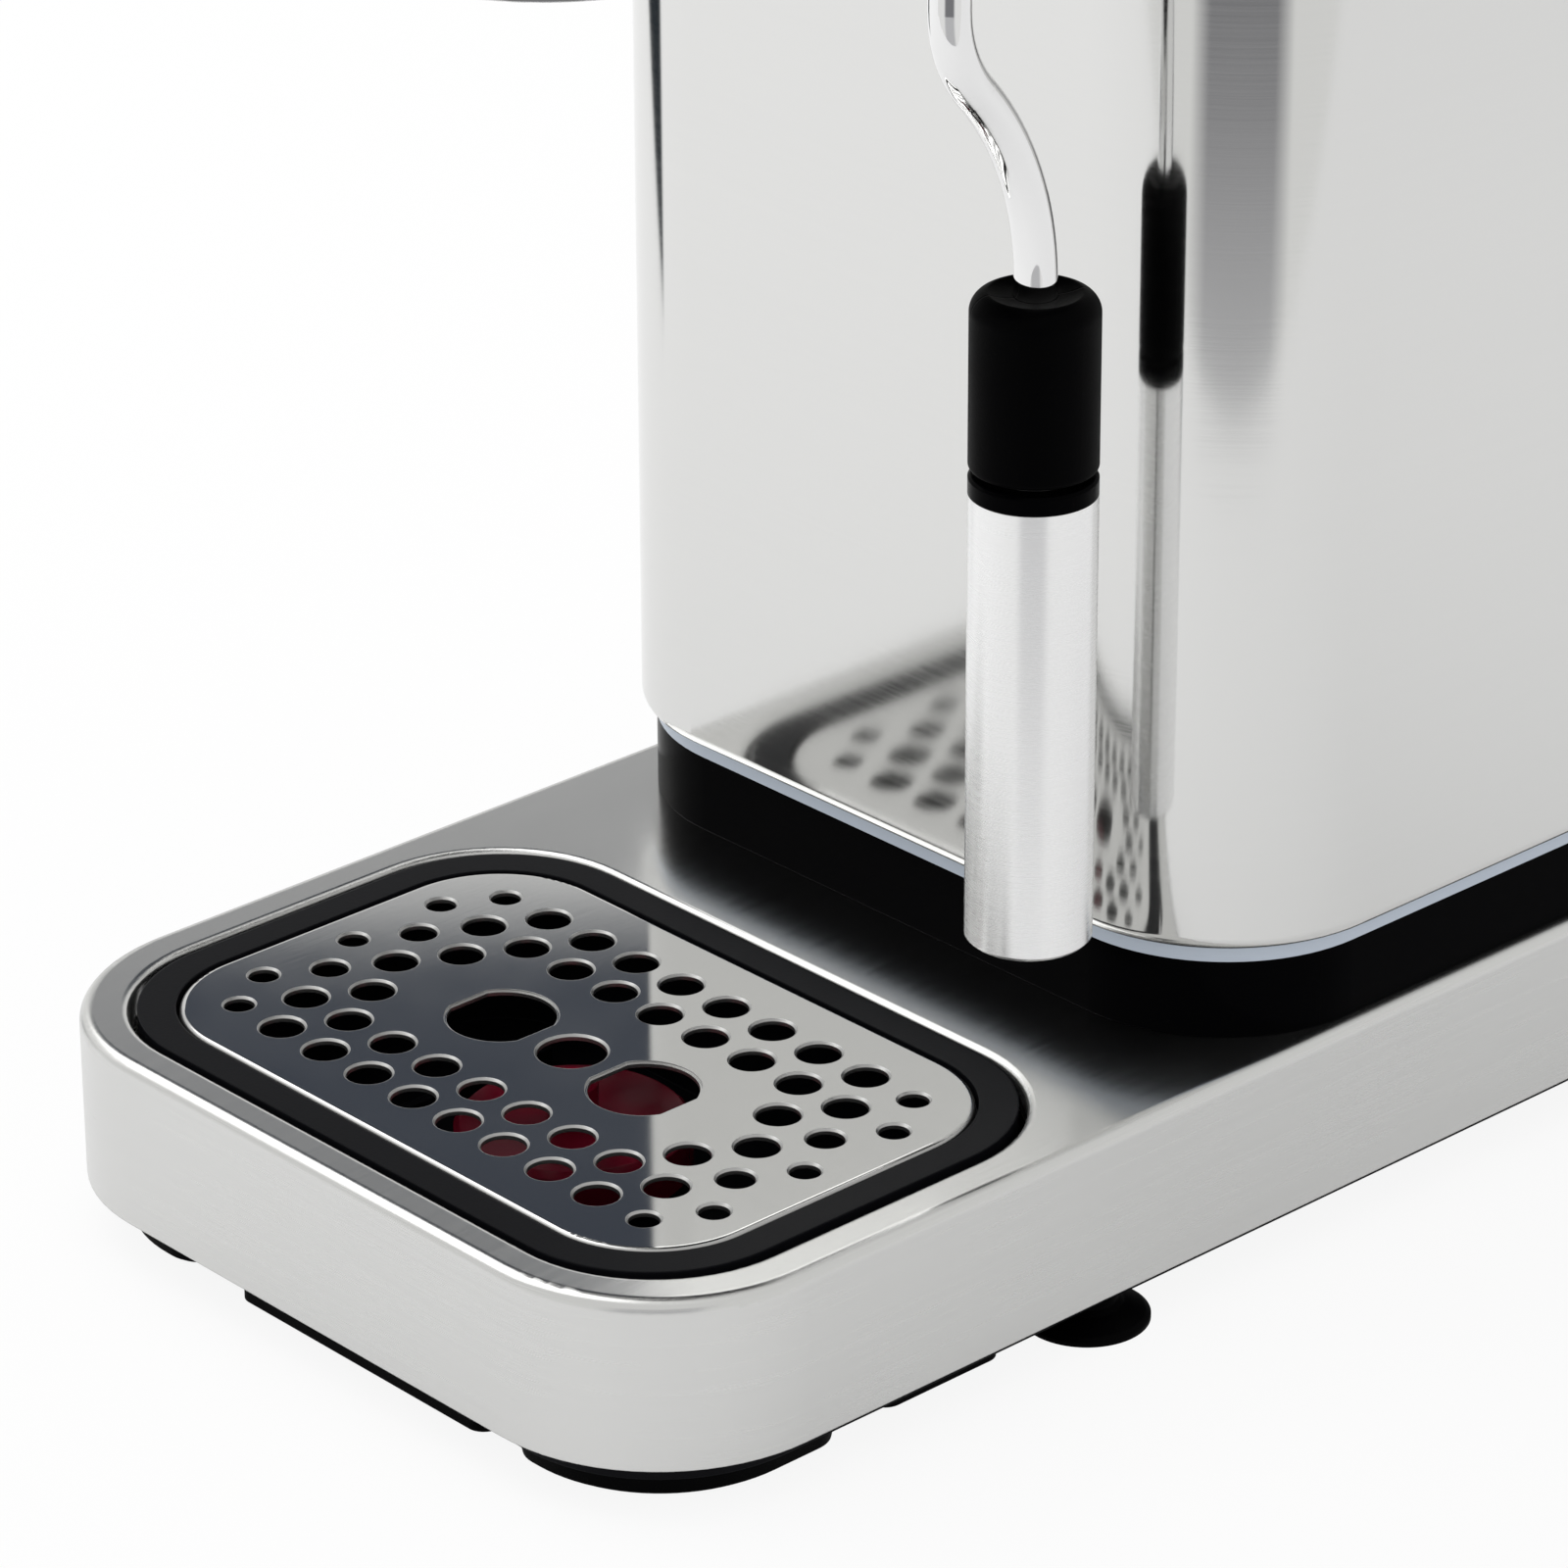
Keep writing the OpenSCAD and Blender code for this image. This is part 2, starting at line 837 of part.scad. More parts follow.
module head_floor() {
  inset = seam_r + 0.2;
  color("#17181a")
    difference() {
      union() {
        translate([0, 0, head_z])
          linear_extrude(2.5)
            intersection() {
              body_outline(head_y, inset);
              translate([-through / 2, tank_y - wall - 0.2 - through])
                square([through, through]);
            }
        // upstand that locates the floor in the shell
        translate([0, 0, head_z])
          linear_extrude(9)
            intersection() {
              difference() {
                body_outline(head_y, inset);
                body_outline(head_y, inset + wall);
              }
              translate([-through / 2, column_y - 4 - through])
                square([through, through]);
            }
      }
      translate([0, tray_y, head_z - eps])
        cylinder(d = group_bore + 2, h = 12);
      translate([wand_x, neck_y, head_z - eps])
        cylinder(d = seat_d + 3.2, h = 30);
      translate([0, works_y, head_z - eps])
        linear_extrude(12)
          rounded(90, 40, 6);
    }
}

// Cup shelf: a shallow tray in the top of the head, with rows of small holes
module cup_shelf() {
  recess = 4;
  lip = 3.2;
  color("#c4c5c3")
    translate([0, shelf_y, head_top])
      difference() {
        union() {
          translate([0, 0, -recess])
            linear_extrude(recess + eps)
              rounded(shelf_w - 2 * lip, shelf_l - 2 * lip, shelf_r - lip);
          swept(shelf_w, shelf_l, shelf_r)
            quarter_round(rim_h);
          linear_extrude(rim_h)
            rounded(shelf_w - 2 * rim_h, shelf_l - 2 * rim_h, shelf_r - rim_h);
        }
        translate([0, 0, -recess + sheet])
          linear_extrude(through)
            rounded(shelf_w - 2 * lip - 2 * sheet, shelf_l - 2 * lip - 2 * sheet,
              shelf_r - lip - sheet);
        for (i = [-4 : 4], j = [-8 : 8])
          translate([(i + (j % 2 == 0 ? 0 : 0.5)) * hole_pitch - hole_pitch / 4,
              j * row_pitch, -recess - eps])
            cylinder(d = 4.4, h = 2 * sheet);
      }
}

module control_panel() {
  color("#0b0b0d")
    translate([0, head_y, fascia_z])
      rotate([90, 0, 0])
        difference() {
          union() {
            translate([0, 0, -fascia_t])
              linear_extrude(fascia_t + 0.6)
                rounded(fascia_w, fascia_h, fascia_r);
            translate([0, 0, -fascia_t])
              linear_extrude(fascia_t - sheet)
                rounded(fascia_w + 4, fascia_h + 4, fascia_r + 2);
          }
          for (i = [0 : 2])
            translate([button_x0 + i * button_pitch, 0, -through / 2])
              cylinder(d = button_d + 2 * slide_gap, h = through);
          translate([knob_x, 0, -through / 2])
            cylinder(d = 6 + 2 * pin_gap, h = through);
          // dish behind the knob
          translate([knob_x, 0, 0])
            cylinder(d = knob_d + 3, h = through);
        }
}

// Push button with a retaining flange behind the panel
module push_button(i) {
  color("#d7d9db")
    translate([button_x0 + i * button_pitch, head_y, button_z])
      rotate([90, 0, 0]) {
        translate([0, 0, -fascia_t - 2 - button_travel])
          cylinder(d = button_d, h = fascia_t + 3.4 + button_travel);
        translate([0, 0, 1.4 - eps])
          cylinder(d1 = button_d, d2 = button_d - 1.6, h = 0.9);
        translate([0, 0, -fascia_t - 2 - button_travel])
          cylinder(d = button_d + 3, h = 1.8 + button_travel);
      }
}

module button_single() { push_button(0); }
module button_double() { push_button(1); }
module button_steam() { push_button(2); }

// Fluted knob with a pointer groove
module steam_knob() {
  r = knob_d / 2;
  flutes = 24;
  color("#1b1c1f")
    translate([knob_x, head_y, button_z])
      rotate([90, 0, 0])
        difference() {
          union() {
            translate([0, 0, 0.6])
              cylinder(r = r, h = knob_l - 2);
            translate([0, 0, knob_l - 1.4 - eps])
              cylinder(r1 = r, r2 = r - 1.6, h = 1.6);
          }
          for (i = [0 : flutes - 1])
            rotate([0, 0, 360 / flutes * i])
              translate([r + 0.7, 0, 3])
                cylinder(d = 2.8, h = knob_l, $fn = 24);
          translate([-0.8, r - 9, knob_l - 0.8])
            cube([1.6, 10, 3]);
          translate([0, 0, -eps])
            cylinder(d = 6, h = knob_l - 4);
        }
}

module knob_shaft() {
  color("#c9a85a")
    translate([knob_x, head_y, button_z])
      rotate([90, 0, 0])
        translate([0, 0, -16])
          cylinder(d = 6, h = 16 + knob_l - 4);
}

module steam_valve() {
  color("#b58b3a")
    translate([knob_x, head_y, button_z])
      rotate([90, 0, 0])
        difference() {
          union() {
            translate([0, 0, -40])
              cylinder(d = 20, h = 40 - fascia_t, $fn = 6);
            translate([0, 0, -30])
              rotate([90, 0, 0])
                cylinder(d = 9, h = 15);
          }
          translate([0, 0, -17])
            cylinder(d = 6 + 2 * pin_gap, h = 20);
        }
}

// ---- Brew group ----

module group_body() {
  color("#a7aaac")
    translate([0, tray_y, head_z + 2.5 + 1])
      difference() {
        union() {
          cylinder(d = group_d - 4, h = 22);
          translate([0, 0, 22 - eps])
            cylinder(d = 46, h = 8);
        }
        // thread of the screen's screw
        translate([0, 0, -eps])
          cylinder(d = 3.8, h = 7);
      }
}

// Bayonet ring: two inlets and a ramped groove inside
module group_ring() {
  h = head_z + 3.5 - group_z;
  color("#d3d4d2")
    translate([0, tray_y, group_z])
      difference() {
        union() {
          cylinder(d = group_d, h = h - 3.5 - eps);
          translate([0, 0, h - 3.5 - 2 * eps])
            cylinder(d = group_bore + 1.6, h = 3.5 + 2 * eps);
        }
        translate([0, 0, -eps])
          cylinder(d = group_bore - 4, h = h + 2 * eps);
        translate([0, 0, 4])
          cylinder(d = group_bore, h = h - 8);
        for (a = [0, 180])
          rotate([0, 0, a])
            translate([0, 0, -eps])
              intersection() {
                cylinder(d = group_bore, h = 4 + 2 * eps);
                rotate([0, 0, 25])
                  translate([0, -9, 0])
                    cube([through, 18, through]);
              }
      }
}

module group_gasket() {
  color("#1c1c1e")
    translate([0, tray_y, head_z - 1])
      ring(group_bore - 5, group_bore - 16, 4.5 - eps);
}

module shower_screen() {
  d = group_bore - 17;
  color("#c7c8c6")
    translate([0, tray_y, head_z + 0.6])
      difference() {
        union() {
          cylinder(d = d, h = 1);
          translate([0, 0, 1 - eps])
            ring(d, d - 3, 1.9);
        }
        for (k = [1 : 4], i = [0 : 6 * k - 1])
          rotate([0, 0, 360 / (6 * k) * i])
            translate([k * 4.2, 0, -eps])
              cylinder(d = 1.4, h = 1.2, $fn = 16);
        translate([0, 0, -eps])
          cylinder(d = 4.2, h = 1.2);
      }
}

module screen_screw() {
  color("#8f9193")
    translate([0, tray_y, head_z - 1.6])
      difference() {
        union() {
          cylinder(d = 8, h = 2.2);
          cylinder(d = 4, h = 8);
        }
        translate([0, 0, -eps])
          cylinder(d = 3.5, h = 1.4, $fn = 6);
      }
}

// ---- Steam wand ----

// Fixed collar that holds the turning seat
module wand_socket() {
  color("#c4c5c6")
    translate([wand_x, neck_y, head_z - collar_drop])
      difference() {
        union() {
          translate([0, 0, 1])
            cylinder(d = collar_d, h = collar_drop - 1);
          cylinder(d1 = collar_d - 2, d2 = collar_d, h = 1 + eps);
          cylinder(d = seat_d + 3, h = collar_drop + 10);
        }
        translate([0, 0, collar_lip])
          cylinder(d = seat_d + 2 * slide_gap, h = 20);
        translate([0, 0, -eps])
          cylinder(r = mouth_r, h = 2 * collar_lip);
      }
}

// Seat that turns in the collar and holds the ball
module ball_seat() {
  low = head_z - collar_drop + collar_lip;
  drop = ball_z - low;
  color("#e8e6df")
    translate([wand_x, neck_y, 0])
      difference() {
        translate([0, 0, low])
          cylinder(d = seat_d, h = 11);
        translate([0, 0, ball_z])
          sphere(d = ball_d + 2 * slide_gap);
        translate([0, 0, low - eps])
          cylinder(r1 = drop * tan(tilt_a) + tube_d / 2 + 0.8, r2 = tube_d / 2 + 1, h = drop);
        translate([0, 0, ball_z])
          cylinder(d = ball_d - 5, h = 20);
      }
}

module wand_ball() {
  color("#d8d9da")
    translate([wand_x, neck_y, ball_z])
      difference() {
        sphere(d = ball_d);
        translate([0, 0, -ball_d])
          cylinder(d = tube_d, h = ball_d - 2);
        cylinder(d = 3, h = ball_d);
      }
}

// Length of tube bent through bend_a round a centre r away
module bent_tube(r) {
  rotate([90, 0, 90])
    rotate_extrude(angle = bend_a)
      translate([r, 0])
        circle(d = tube_d, $fn = 48);
}

// Chrome tube: upright below, a lean towards the front, upright again into the ball
module wand_tube() {
  tip_top = collar_z - 26;
  color("#dcdddc")
    translate([wand_x, 0, 0]) {
      translate([0, wand_y, tip_top])
        cylinder(d = tube_d, h = bend_z - tip_top, $fn = 48);
      translate([0, wand_y - bend_r, bend_z])
        bent_tube(bend_r);
      translate([0, neck_y + neck_r, neck_z])
        rotate([180, 0, 0])
          bent_tube(neck_r);
      // joint between the two bends
      translate([0, wand_y - bend_r * (1 - cos(bend_a)), bend_z + bend_r * sin(bend_a)])
        sphere(d = tube_d + 0.04);
      translate([0, neck_y, neck_z])
        cylinder(d = tube_d, h = ball_z - 2 - neck_z, $fn = 48);
    }
}

module wand_grip() {
  r = grip_d / 2;
  e = 3.2;
  color("#141416")
    translate([wand_x, wand_y, grip_z])
      rotate_extrude()
        difference() {
          union() {
            translate([tube_d / 2, 0.8])
              square([r - tube_d / 2, grip_l - e - 0.8]);
            translate([tube_d / 2, 0])
              square([r - 0.8 - tube_d / 2, grip_l]);
            translate([r - 0.8, 0.8])
              circle(0.8, $fn = 32);
            translate([tube_d / 2, grip_l - e])
              square([r - e - tube_d / 2, e]);
            translate([r - e, grip_l - e])
              circle(e, $fn = 64);
          }
          // dished top
          translate([tube_d / 2, grip_l + 9.2])
            circle(10, $fn = 96);
          translate([r - e, grip_l - e])
            difference() {
              square([2 * e, 2 * e]);
              circle(e, $fn = 64);
            }
        }
}

// Carrier inside the sleeve, with the nozzle at its lower end
module wand_tip() {
  color("#b9babb")
    translate([wand_x, wand_y, 0])
      difference() {
        union() {
          translate([0, 0, collar_z - 28])
            cylinder(d = tip_d, h = 28 + collar_l + groove_w);
          translate([0, 0, collar_z - 48])
            cylinder(d = 6, h = 20 + eps);
          translate([0, 0, collar_z - 51])
            cylinder(d1 = 3, d2 = 6, h = 3 + eps);
        }
        translate([0, 0, collar_z - 26])
          cylinder(d = tube_d, h = 40);
        translate([0, 0, collar_z - 52])
          cylinder(d = 1.6, h = 30);
        for (z = [5, 20])
          translate([0, 0, collar_z - z])
            rotate_extrude()
              translate([tip_d / 2, 0])
                circle(d = 1.8, $fn = 24);
      }
}

module tip_seals() {
  color("#26262a")
    translate([wand_x, wand_y, 0])
      for (z = [5, 20])
        translate([0, 0, collar_z - z])
          rotate_extrude()
            translate([tip_d / 2 + 0.15, 0])
              circle(d = 1.7, $fn = 24);
}

module sleeve_collar() {
  color("#08080a")
    translate([wand_x, wand_y, 0])
      difference() {
        union() {
          translate([0, 0, collar_z])
            cylinder(d = grip_d, h = collar_l - 0.4);
          translate([0, 0, collar_z + collar_l - 0.4 - eps])
            cylinder(d1 = grip_d, d2 = grip_d - 0.8, h = 0.4);
          translate([0, 0, collar_z - 24])
            cylinder(d = sleeve_d - 1.6, h = 24 + eps);
        }
        translate([0, 0, collar_z - 25])
          cylinder(d = tip_d + 2.2, h = 40);
      }
}

module froth_sleeve() {
  color("#cfd0ce")
    translate([wand_x, wand_y, sleeve_z])
      difference() {
        union() {
          translate([0, 0, 0.6])
            cylinder(d = sleeve_d, h = sleeve_l - 0.6);
          cylinder(d1 = sleeve_d - 1.2, d2 = sleeve_d, h = 0.6 + eps);
        }
        translate([0, 0, -eps])
          cylinder(d = sleeve_d - 5, h = 6);
        translate([0, 0, 4])
          cylinder(d = sleeve_d - 1.6, h = sleeve_l);
      }
}

// ---- Water tank ----

// Rear part of the body outline, behind the chassis
module tank_outline(inset) {
  intersection() {
    body_outline(column_y, inset);
    translate([-through / 2, tank_y + tank_gap + inset])
      square([through, through]);
  }
}

// Outline of the lid, in front of the hinge
module lid_outline(inset) {
  difference() {
    tank_outline(inset);
    translate([-through / 2, hinge_y - 2.8 - inset])
      square([through, through]);
  }
}

module tank_socket() {
  color("#202124")
    translate([0, column_back - tank_l / 2, column_z + sheet])
      difference() {
        union() {
          cylinder(d = 15.8, h = shelf_z - column_z - sheet);
          translate([0, 0, -5])
            cylinder(d = 10, h = 5 + eps);
        }
        translate([0, 0, 0.6])
          cylinder(d = 11, h = through);
        translate([0, 0, -5 - eps])
          cylinder(d = 4, h = through);
      }
}

module water_tank() {
  floor_t = 2.4;
  color("#8f98a0", 0.45)
    difference() {
      union() {
        difference() {
          translate([0, 0, shelf_z])
            linear_extrude(tank_top - shelf_z)
              tank_outline(0);
          translate([0, 0, shelf_z + floor_t])
            linear_extrude(through)
              tank_outline(tank_t);
        }
        // gutter under the hinge and bridge behind it
        translate([0, 0, tank_top - 2.4])
          linear_extrude(2.4)
            intersection() {
              tank_outline(0);
              behind(hinge_y - 3.5, 0);
            }
        translate([0, 0, tank_top - eps])
          linear_extrude(head_top - tank_top)
            behind(hinge_y + 2.6, 0);
        for (sx = [-1, 1])
          translate([sx * ear_x - ear_t / 2, hinge_y - 2, tank_top - eps])
            cube([ear_t, 5, head_top - tank_top - 0.4]);
        // grip rail across the front of the tank
        translate([-24, tank_y + tank_gap + tank_t - eps, tank_top - 14])
          cube([48, 5, 2.2]);
      }
      translate([0, column_back - tank_l / 2, shelf_z - eps])
        cylinder(d = 10, h = 2 * floor_t);
      for (sx = [-1, 1])
        translate([sx * ear_x - ear_t, hinge_y, hinge_z])
          rotate([0, 90, 0])
            cylinder(d = pin_d, h = 2 * ear_t);
    }
}

module tank_valve() {
  color("#17181a")
    translate([0, column_back - tank_l / 2, shelf_z]) {
      translate([0, 0, -1])
        cylinder(d = 9.9, h = 3.6);
      translate([0, 0, 2.4 + eps])
        cylinder(d = 16, h = 2);
      translate([0, 0, 4.4])
        cylinder(d = 7, h = 9);
    }
}

module tank_lid() {
  color("#1d1e20")
    difference() {
      union() {
        translate([0, 0, tank_top])
          linear_extrude(head_top - tank_top - 0.8)
            lid_outline(0);
        translate([0, 0, head_top - 0.8 - eps])
          linear_extrude(0.8)
            lid_outline(0.8);
        for (sx = [-1, 1])
          translate([sx * (ear_x - ear_t) - ear_t / 2 + 0.2, hinge_y, hinge_z])
            rotate([0, 90, 0])
              cylinder(d = 2 * (head_top - hinge_z), h = ear_t - 0.4);
        for (sx = [-1, 1])
          translate([sx * (ear_x - ear_t) - ear_t / 2 + 0.2, hinge_y - 4, hinge_z - 1.6])
            cube([ear_t - 0.4, 4, head_top - hinge_z + 1.6]);
      }
      translate([0, 0, tank_top - eps])
        linear_extrude(head_top - tank_top - 2.4)
          lid_outline(tank_t);
      for (sx = [-1, 1])
        translate([sx * (ear_x - ear_t) - ear_t, hinge_y, hinge_z])
          rotate([0, 90, 0])
            cylinder(d = pin_d + 2 * pin_gap, h = 2 * ear_t);
      // finger notch
      translate([0, tank_y + tank_gap - 2, tank_top - eps])
        cylinder(d = 22, h = 4);
    }
}

module lid_pin() {
  color("silver")
    translate([-ear_x - ear_t / 2, hinge_y, hinge_z])
      rotate([0, 90, 0])
        cylinder(d = pin_d, h = 2 * ear_x + ear_t);
}

base_shell();
bottom_pan();
pan_screws();
front_pads();
foot_front_left();
foot_front_right();
foot_rear_left();
foot_rear_right();
drip_tray();
drip_grate();
tray_float();
plinth();
light_strip();
column_shell();
chassis();
cable_gland();
pump();
pump_mounts();
thermoblock();
control_board();
steam_valve();
head_shell();
head_floor();
cup_shelf();
control_panel();
button_single();
button_double();
button_steam();
steam_knob();
knob_shaft();
group_body();
group_ring();
group_gasket();
shower_screen();
screen_screw();
wand_socket();
ball_seat();
wand_ball();
wand_tube();
wand_grip();
wand_tip();
tip_seals();
sleeve_collar();
froth_sleeve();
tank_socket();
water_tank();
tank_valve();
tank_lid();
lid_pin();
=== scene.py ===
"""Looks and stage for a slim countertop hot-drink machine with a steam wand.

Everything is in metres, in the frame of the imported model: X across, -Y the front, Z up.
Each operator dresses one group of nodes or adds one group of pieces.
"""

import math

import bmesh
import bpy
from bpy.props import FloatProperty, FloatVectorProperty, IntProperty, PointerProperty
from mathutils import Matrix, Vector


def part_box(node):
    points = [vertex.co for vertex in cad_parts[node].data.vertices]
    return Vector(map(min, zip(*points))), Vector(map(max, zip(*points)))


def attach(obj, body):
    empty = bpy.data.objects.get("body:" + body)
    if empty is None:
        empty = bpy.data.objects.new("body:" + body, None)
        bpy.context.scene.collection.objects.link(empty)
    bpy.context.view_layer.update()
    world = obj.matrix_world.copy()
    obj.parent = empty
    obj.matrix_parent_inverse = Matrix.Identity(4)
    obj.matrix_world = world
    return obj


bl_info = {
    "name": "Hot Drink Machine Looks",
    "version": (1, 0, 0),
    "blender": (4, 5, 0),
    "location": "3D View > Sidebar > Machine",
    "description": "Finishes, small details and stage of a slim hot-drink machine",
    "category": "Object",
}

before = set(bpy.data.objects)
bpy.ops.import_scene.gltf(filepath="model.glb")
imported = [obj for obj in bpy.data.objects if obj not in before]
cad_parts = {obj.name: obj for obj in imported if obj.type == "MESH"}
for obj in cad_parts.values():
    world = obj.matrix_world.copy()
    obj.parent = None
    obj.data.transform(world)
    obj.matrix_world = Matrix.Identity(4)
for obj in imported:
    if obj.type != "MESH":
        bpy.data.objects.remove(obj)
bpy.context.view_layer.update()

SATIN_NODES = ("base_shell", "head_shell", "cup_shelf")
SLEEVE_NODES = ("froth_sleeve",)
MIRROR_NODES = ("column_shell",)
POLISHED_NODES = ("shower_screen", "wand_tip")
GRATE_NODES = ("drip_grate",)
CHROME_NODES = ("wand_tube", "wand_ball", "wand_socket", "group_ring")
BUTTON_NODES = ("button_single", "button_double", "button_steam")
MOULDED_NODES = ("drip_tray", "bottom_pan", "chassis", "head_floor", "tank_socket", "tank_valve",
                 "tank_lid", "steam_knob")
GLOSS_NODES = ("plinth", "control_panel", "sleeve_collar")
RUBBER_NODES = ("front_pads", "foot_front_left", "foot_front_right", "foot_rear_left",
                "foot_rear_right", "cable_gland", "pump_mounts", "group_gasket", "tip_seals")
FASTENER_NODES = ("pan_screws", "screen_screw", "lid_pin")
BRASS_NODES = ("steam_valve", "knob_shaft")
CAST_NODES = ("group_body", "thermoblock")


# ---- Settings ----


class SteelSettings(bpy.types.PropertyGroup):
    satin_colour: FloatVectorProperty(
        name="Satin steel", description="Colour of the brushed sheet", subtype="COLOR",
        size=3, min=0, max=1, default=(0.70, 0.70, 0.69))
    mirror_colour: FloatVectorProperty(
        name="Polished steel", description="Colour of the polished column and drip grate",
        subtype="COLOR", size=3, min=0, max=1, default=(0.74, 0.74, 0.73))
    chrome_colour: FloatVectorProperty(
        name="Chrome", description="Colour of the plated parts", subtype="COLOR",
        size=3, min=0, max=1, default=(0.86, 0.86, 0.86))
    sleeve_colour: FloatVectorProperty(
        name="Sleeve steel", description="Colour of the froth sleeve", subtype="COLOR",
        size=3, min=0, max=1, default=(0.91, 0.91, 0.91))
    satin_roughness: FloatProperty(
        name="Satin roughness", description="Roughness of the brushed sheet", min=0, max=1,
        default=0.25, subtype="FACTOR")
    mirror_roughness: FloatProperty(
        name="Polished roughness", description="Roughness of the polished column", min=0, max=1,
        default=0.085, subtype="FACTOR")
    grain_across: FloatProperty(
        name="Grain across", description="Brush marks per metre, across them", min=100,
        default=5200)
    grain_along: FloatProperty(
        name="Grain along", description="Brush marks per metre, along them", min=1, default=38)


class PlasticSettings(bpy.types.PropertyGroup):
    moulded_colour: FloatVectorProperty(
        name="Moulding", description="Colour of the satin black mouldings", subtype="COLOR",
        size=3, min=0, max=1, default=(0.0045, 0.0046, 0.006))
    gloss_colour: FloatVectorProperty(
        name="Gloss black", description="Colour of the gloss black parts", subtype="COLOR",
        size=3, min=0, max=1, default=(0.0006, 0.0006, 0.0009))
    rubber_colour: FloatVectorProperty(
        name="Rubber", description="Colour of the rubber grip and feet", subtype="COLOR",
        size=3, min=0, max=1, default=(0.0005, 0.0005, 0.0007))
    float_colour: FloatVectorProperty(
        name="Float", description="Colour of the drip tray's float", subtype="COLOR",
        size=3, min=0, max=1, default=(0.17, 0.004, 0.018))
    strip_colour: FloatVectorProperty(
        name="Lit strip", description="Colour of the strip under the column", subtype="COLOR",
        size=3, min=0, max=1, default=(0.42, 0.47, 0.54))
    tank_colour: FloatVectorProperty(
        name="Tank", description="Tint of the clear water tank", subtype="COLOR",
        size=3, min=0, max=1, default=(0.55, 0.60, 0.64))


class DetailSettings(bpy.types.PropertyGroup):
    mark_size: FloatProperty(
        name="Button mark", description="Height of the mark on each push button", min=0.002,
        default=0.0050, subtype="DISTANCE", unit="LENGTH")
    mark_relief: FloatProperty(
        name="Mark relief", description="How far the printed and moulded marks stand proud",
        min=0.00005, default=0.00012, subtype="DISTANCE", unit="LENGTH")
    lamp_size: FloatProperty(
        name="Signal lamp", description="Diameter of the lamp above each button", min=0.001,
        default=0.0022, subtype="DISTANCE", unit="LENGTH")
    lamp_rise: FloatProperty(
        name="Lamp rise", description="Height of the lamps above the middle of the buttons",
        min=0.008, default=0.0112, subtype="DISTANCE", unit="LENGTH")
    pointer_length: FloatProperty(
        name="Pointer", description="Length of the inlay in the knob's groove", min=0.003,
        default=0.0066, subtype="DISTANCE", unit="LENGTH")
    level_marks: IntProperty(
        name="Level marks", description="Number of marks on the back of the tank", min=2,
        default=9)
    level_step: FloatProperty(
        name="Level step", description="Spacing of the level marks", min=0.005,
        default=0.022, subtype="DISTANCE", unit="LENGTH")


class StageSettings(bpy.types.PropertyGroup):
    camera_place: FloatVectorProperty(
        name="Camera place", description="Where the camera stands", subtype="TRANSLATION",
        size=3, unit="LENGTH", default=(0.73415, -0.71775, 0.5401))
    camera_turn: FloatVectorProperty(
        name="Camera turn", description="Direction of the camera", subtype="EULER",
        size=3, default=(math.radians(64.6373), math.radians(0.2352), math.radians(47.2957)))
    camera_lens: FloatProperty(
        name="Focal length", description="Focal length for a 36 mm sensor, in millimetres",
        min=20, default=163.34)
    floor_width: FloatProperty(
        name="Floor width", description="Width of the floor, across the view", min=1,
        default=6, subtype="DISTANCE", unit="LENGTH")
    floor_front: FloatProperty(
        name="Floor front", description="Distance from the machine to the floor's front edge",
        min=0.2, default=0.40, subtype="DISTANCE", unit="LENGTH")
    room_light: FloatProperty(
        name="Room light", description="Strength of the even light of the room", min=0,
        default=0.78)
    backdrop_top: FloatProperty(
        name="Backdrop top", description="Elevation at which the white backdrop ends",
        subtype="ANGLE", default=math.radians(26.3))
    dark_azimuth: FloatProperty(
        name="Dark wall", description="Direction of the dark wall above the backdrop",
        subtype="ANGLE", default=math.radians(122))
    dark_width: FloatProperty(
        name="Dark wall width", description="Half the width of the dark wall",
        subtype="ANGLE", default=math.radians(38))


# ---- Helpers for node trees ----


def add(tree, kind, **values):
    """Adds a shader node and sets its properties."""
    node = tree.nodes.new("ShaderNode" + kind)
    for key, value in values.items():
        setattr(node, key, value)
    return node


def wire(tree, source, target):
    """Links an output socket to an input socket."""
    tree.links.new(source, target)


def maths(tree, operation, first, second=0.0, clamp=False):
    """A Math node; each input is a socket or a number."""
    node = add(tree, "Math", operation=operation, use_clamp=clamp)
    for socket, value in zip(node.inputs, (first, second)):
        if isinstance(value, bpy.types.NodeSocket):
            wire(tree, value, socket)
        else:
            socket.default_value = value
    return node.outputs[0]


def remap(tree, value, low, high, to_low, to_high):
    """Maps a value from one range to another, held at its ends."""
    node = add(tree, "MapRange")
    wire(tree, value, node.inputs["Value"])
    node.inputs["From Min"].default_value = low
    node.inputs["From Max"].default_value = high
    node.inputs["To Min"].default_value = to_low
    node.inputs["To Max"].default_value = to_high
    return node.outputs["Result"]


def clouded(tree, value, to_low, to_high):
    """Maps a noise value, which mostly lies between 0.3 and 0.7, to a range."""
    return remap(tree, value, 0.3, 0.7, to_low, to_high)


def mix_colour(tree, factor, first, second):
    """A colour Mix node; each input is a socket, a number or a colour."""
    node = add(tree, "Mix", data_type="RGBA")
    for socket, value in zip((node.inputs[0], node.inputs[6], node.inputs[7]),
                             (factor, first, second)):
        if isinstance(value, bpy.types.NodeSocket):
            wire(tree, value, socket)
        elif isinstance(value, (int, float)):
            socket.default_value = value
        else:
            socket.default_value = (*value[:3], 1)
    return node.outputs[2]


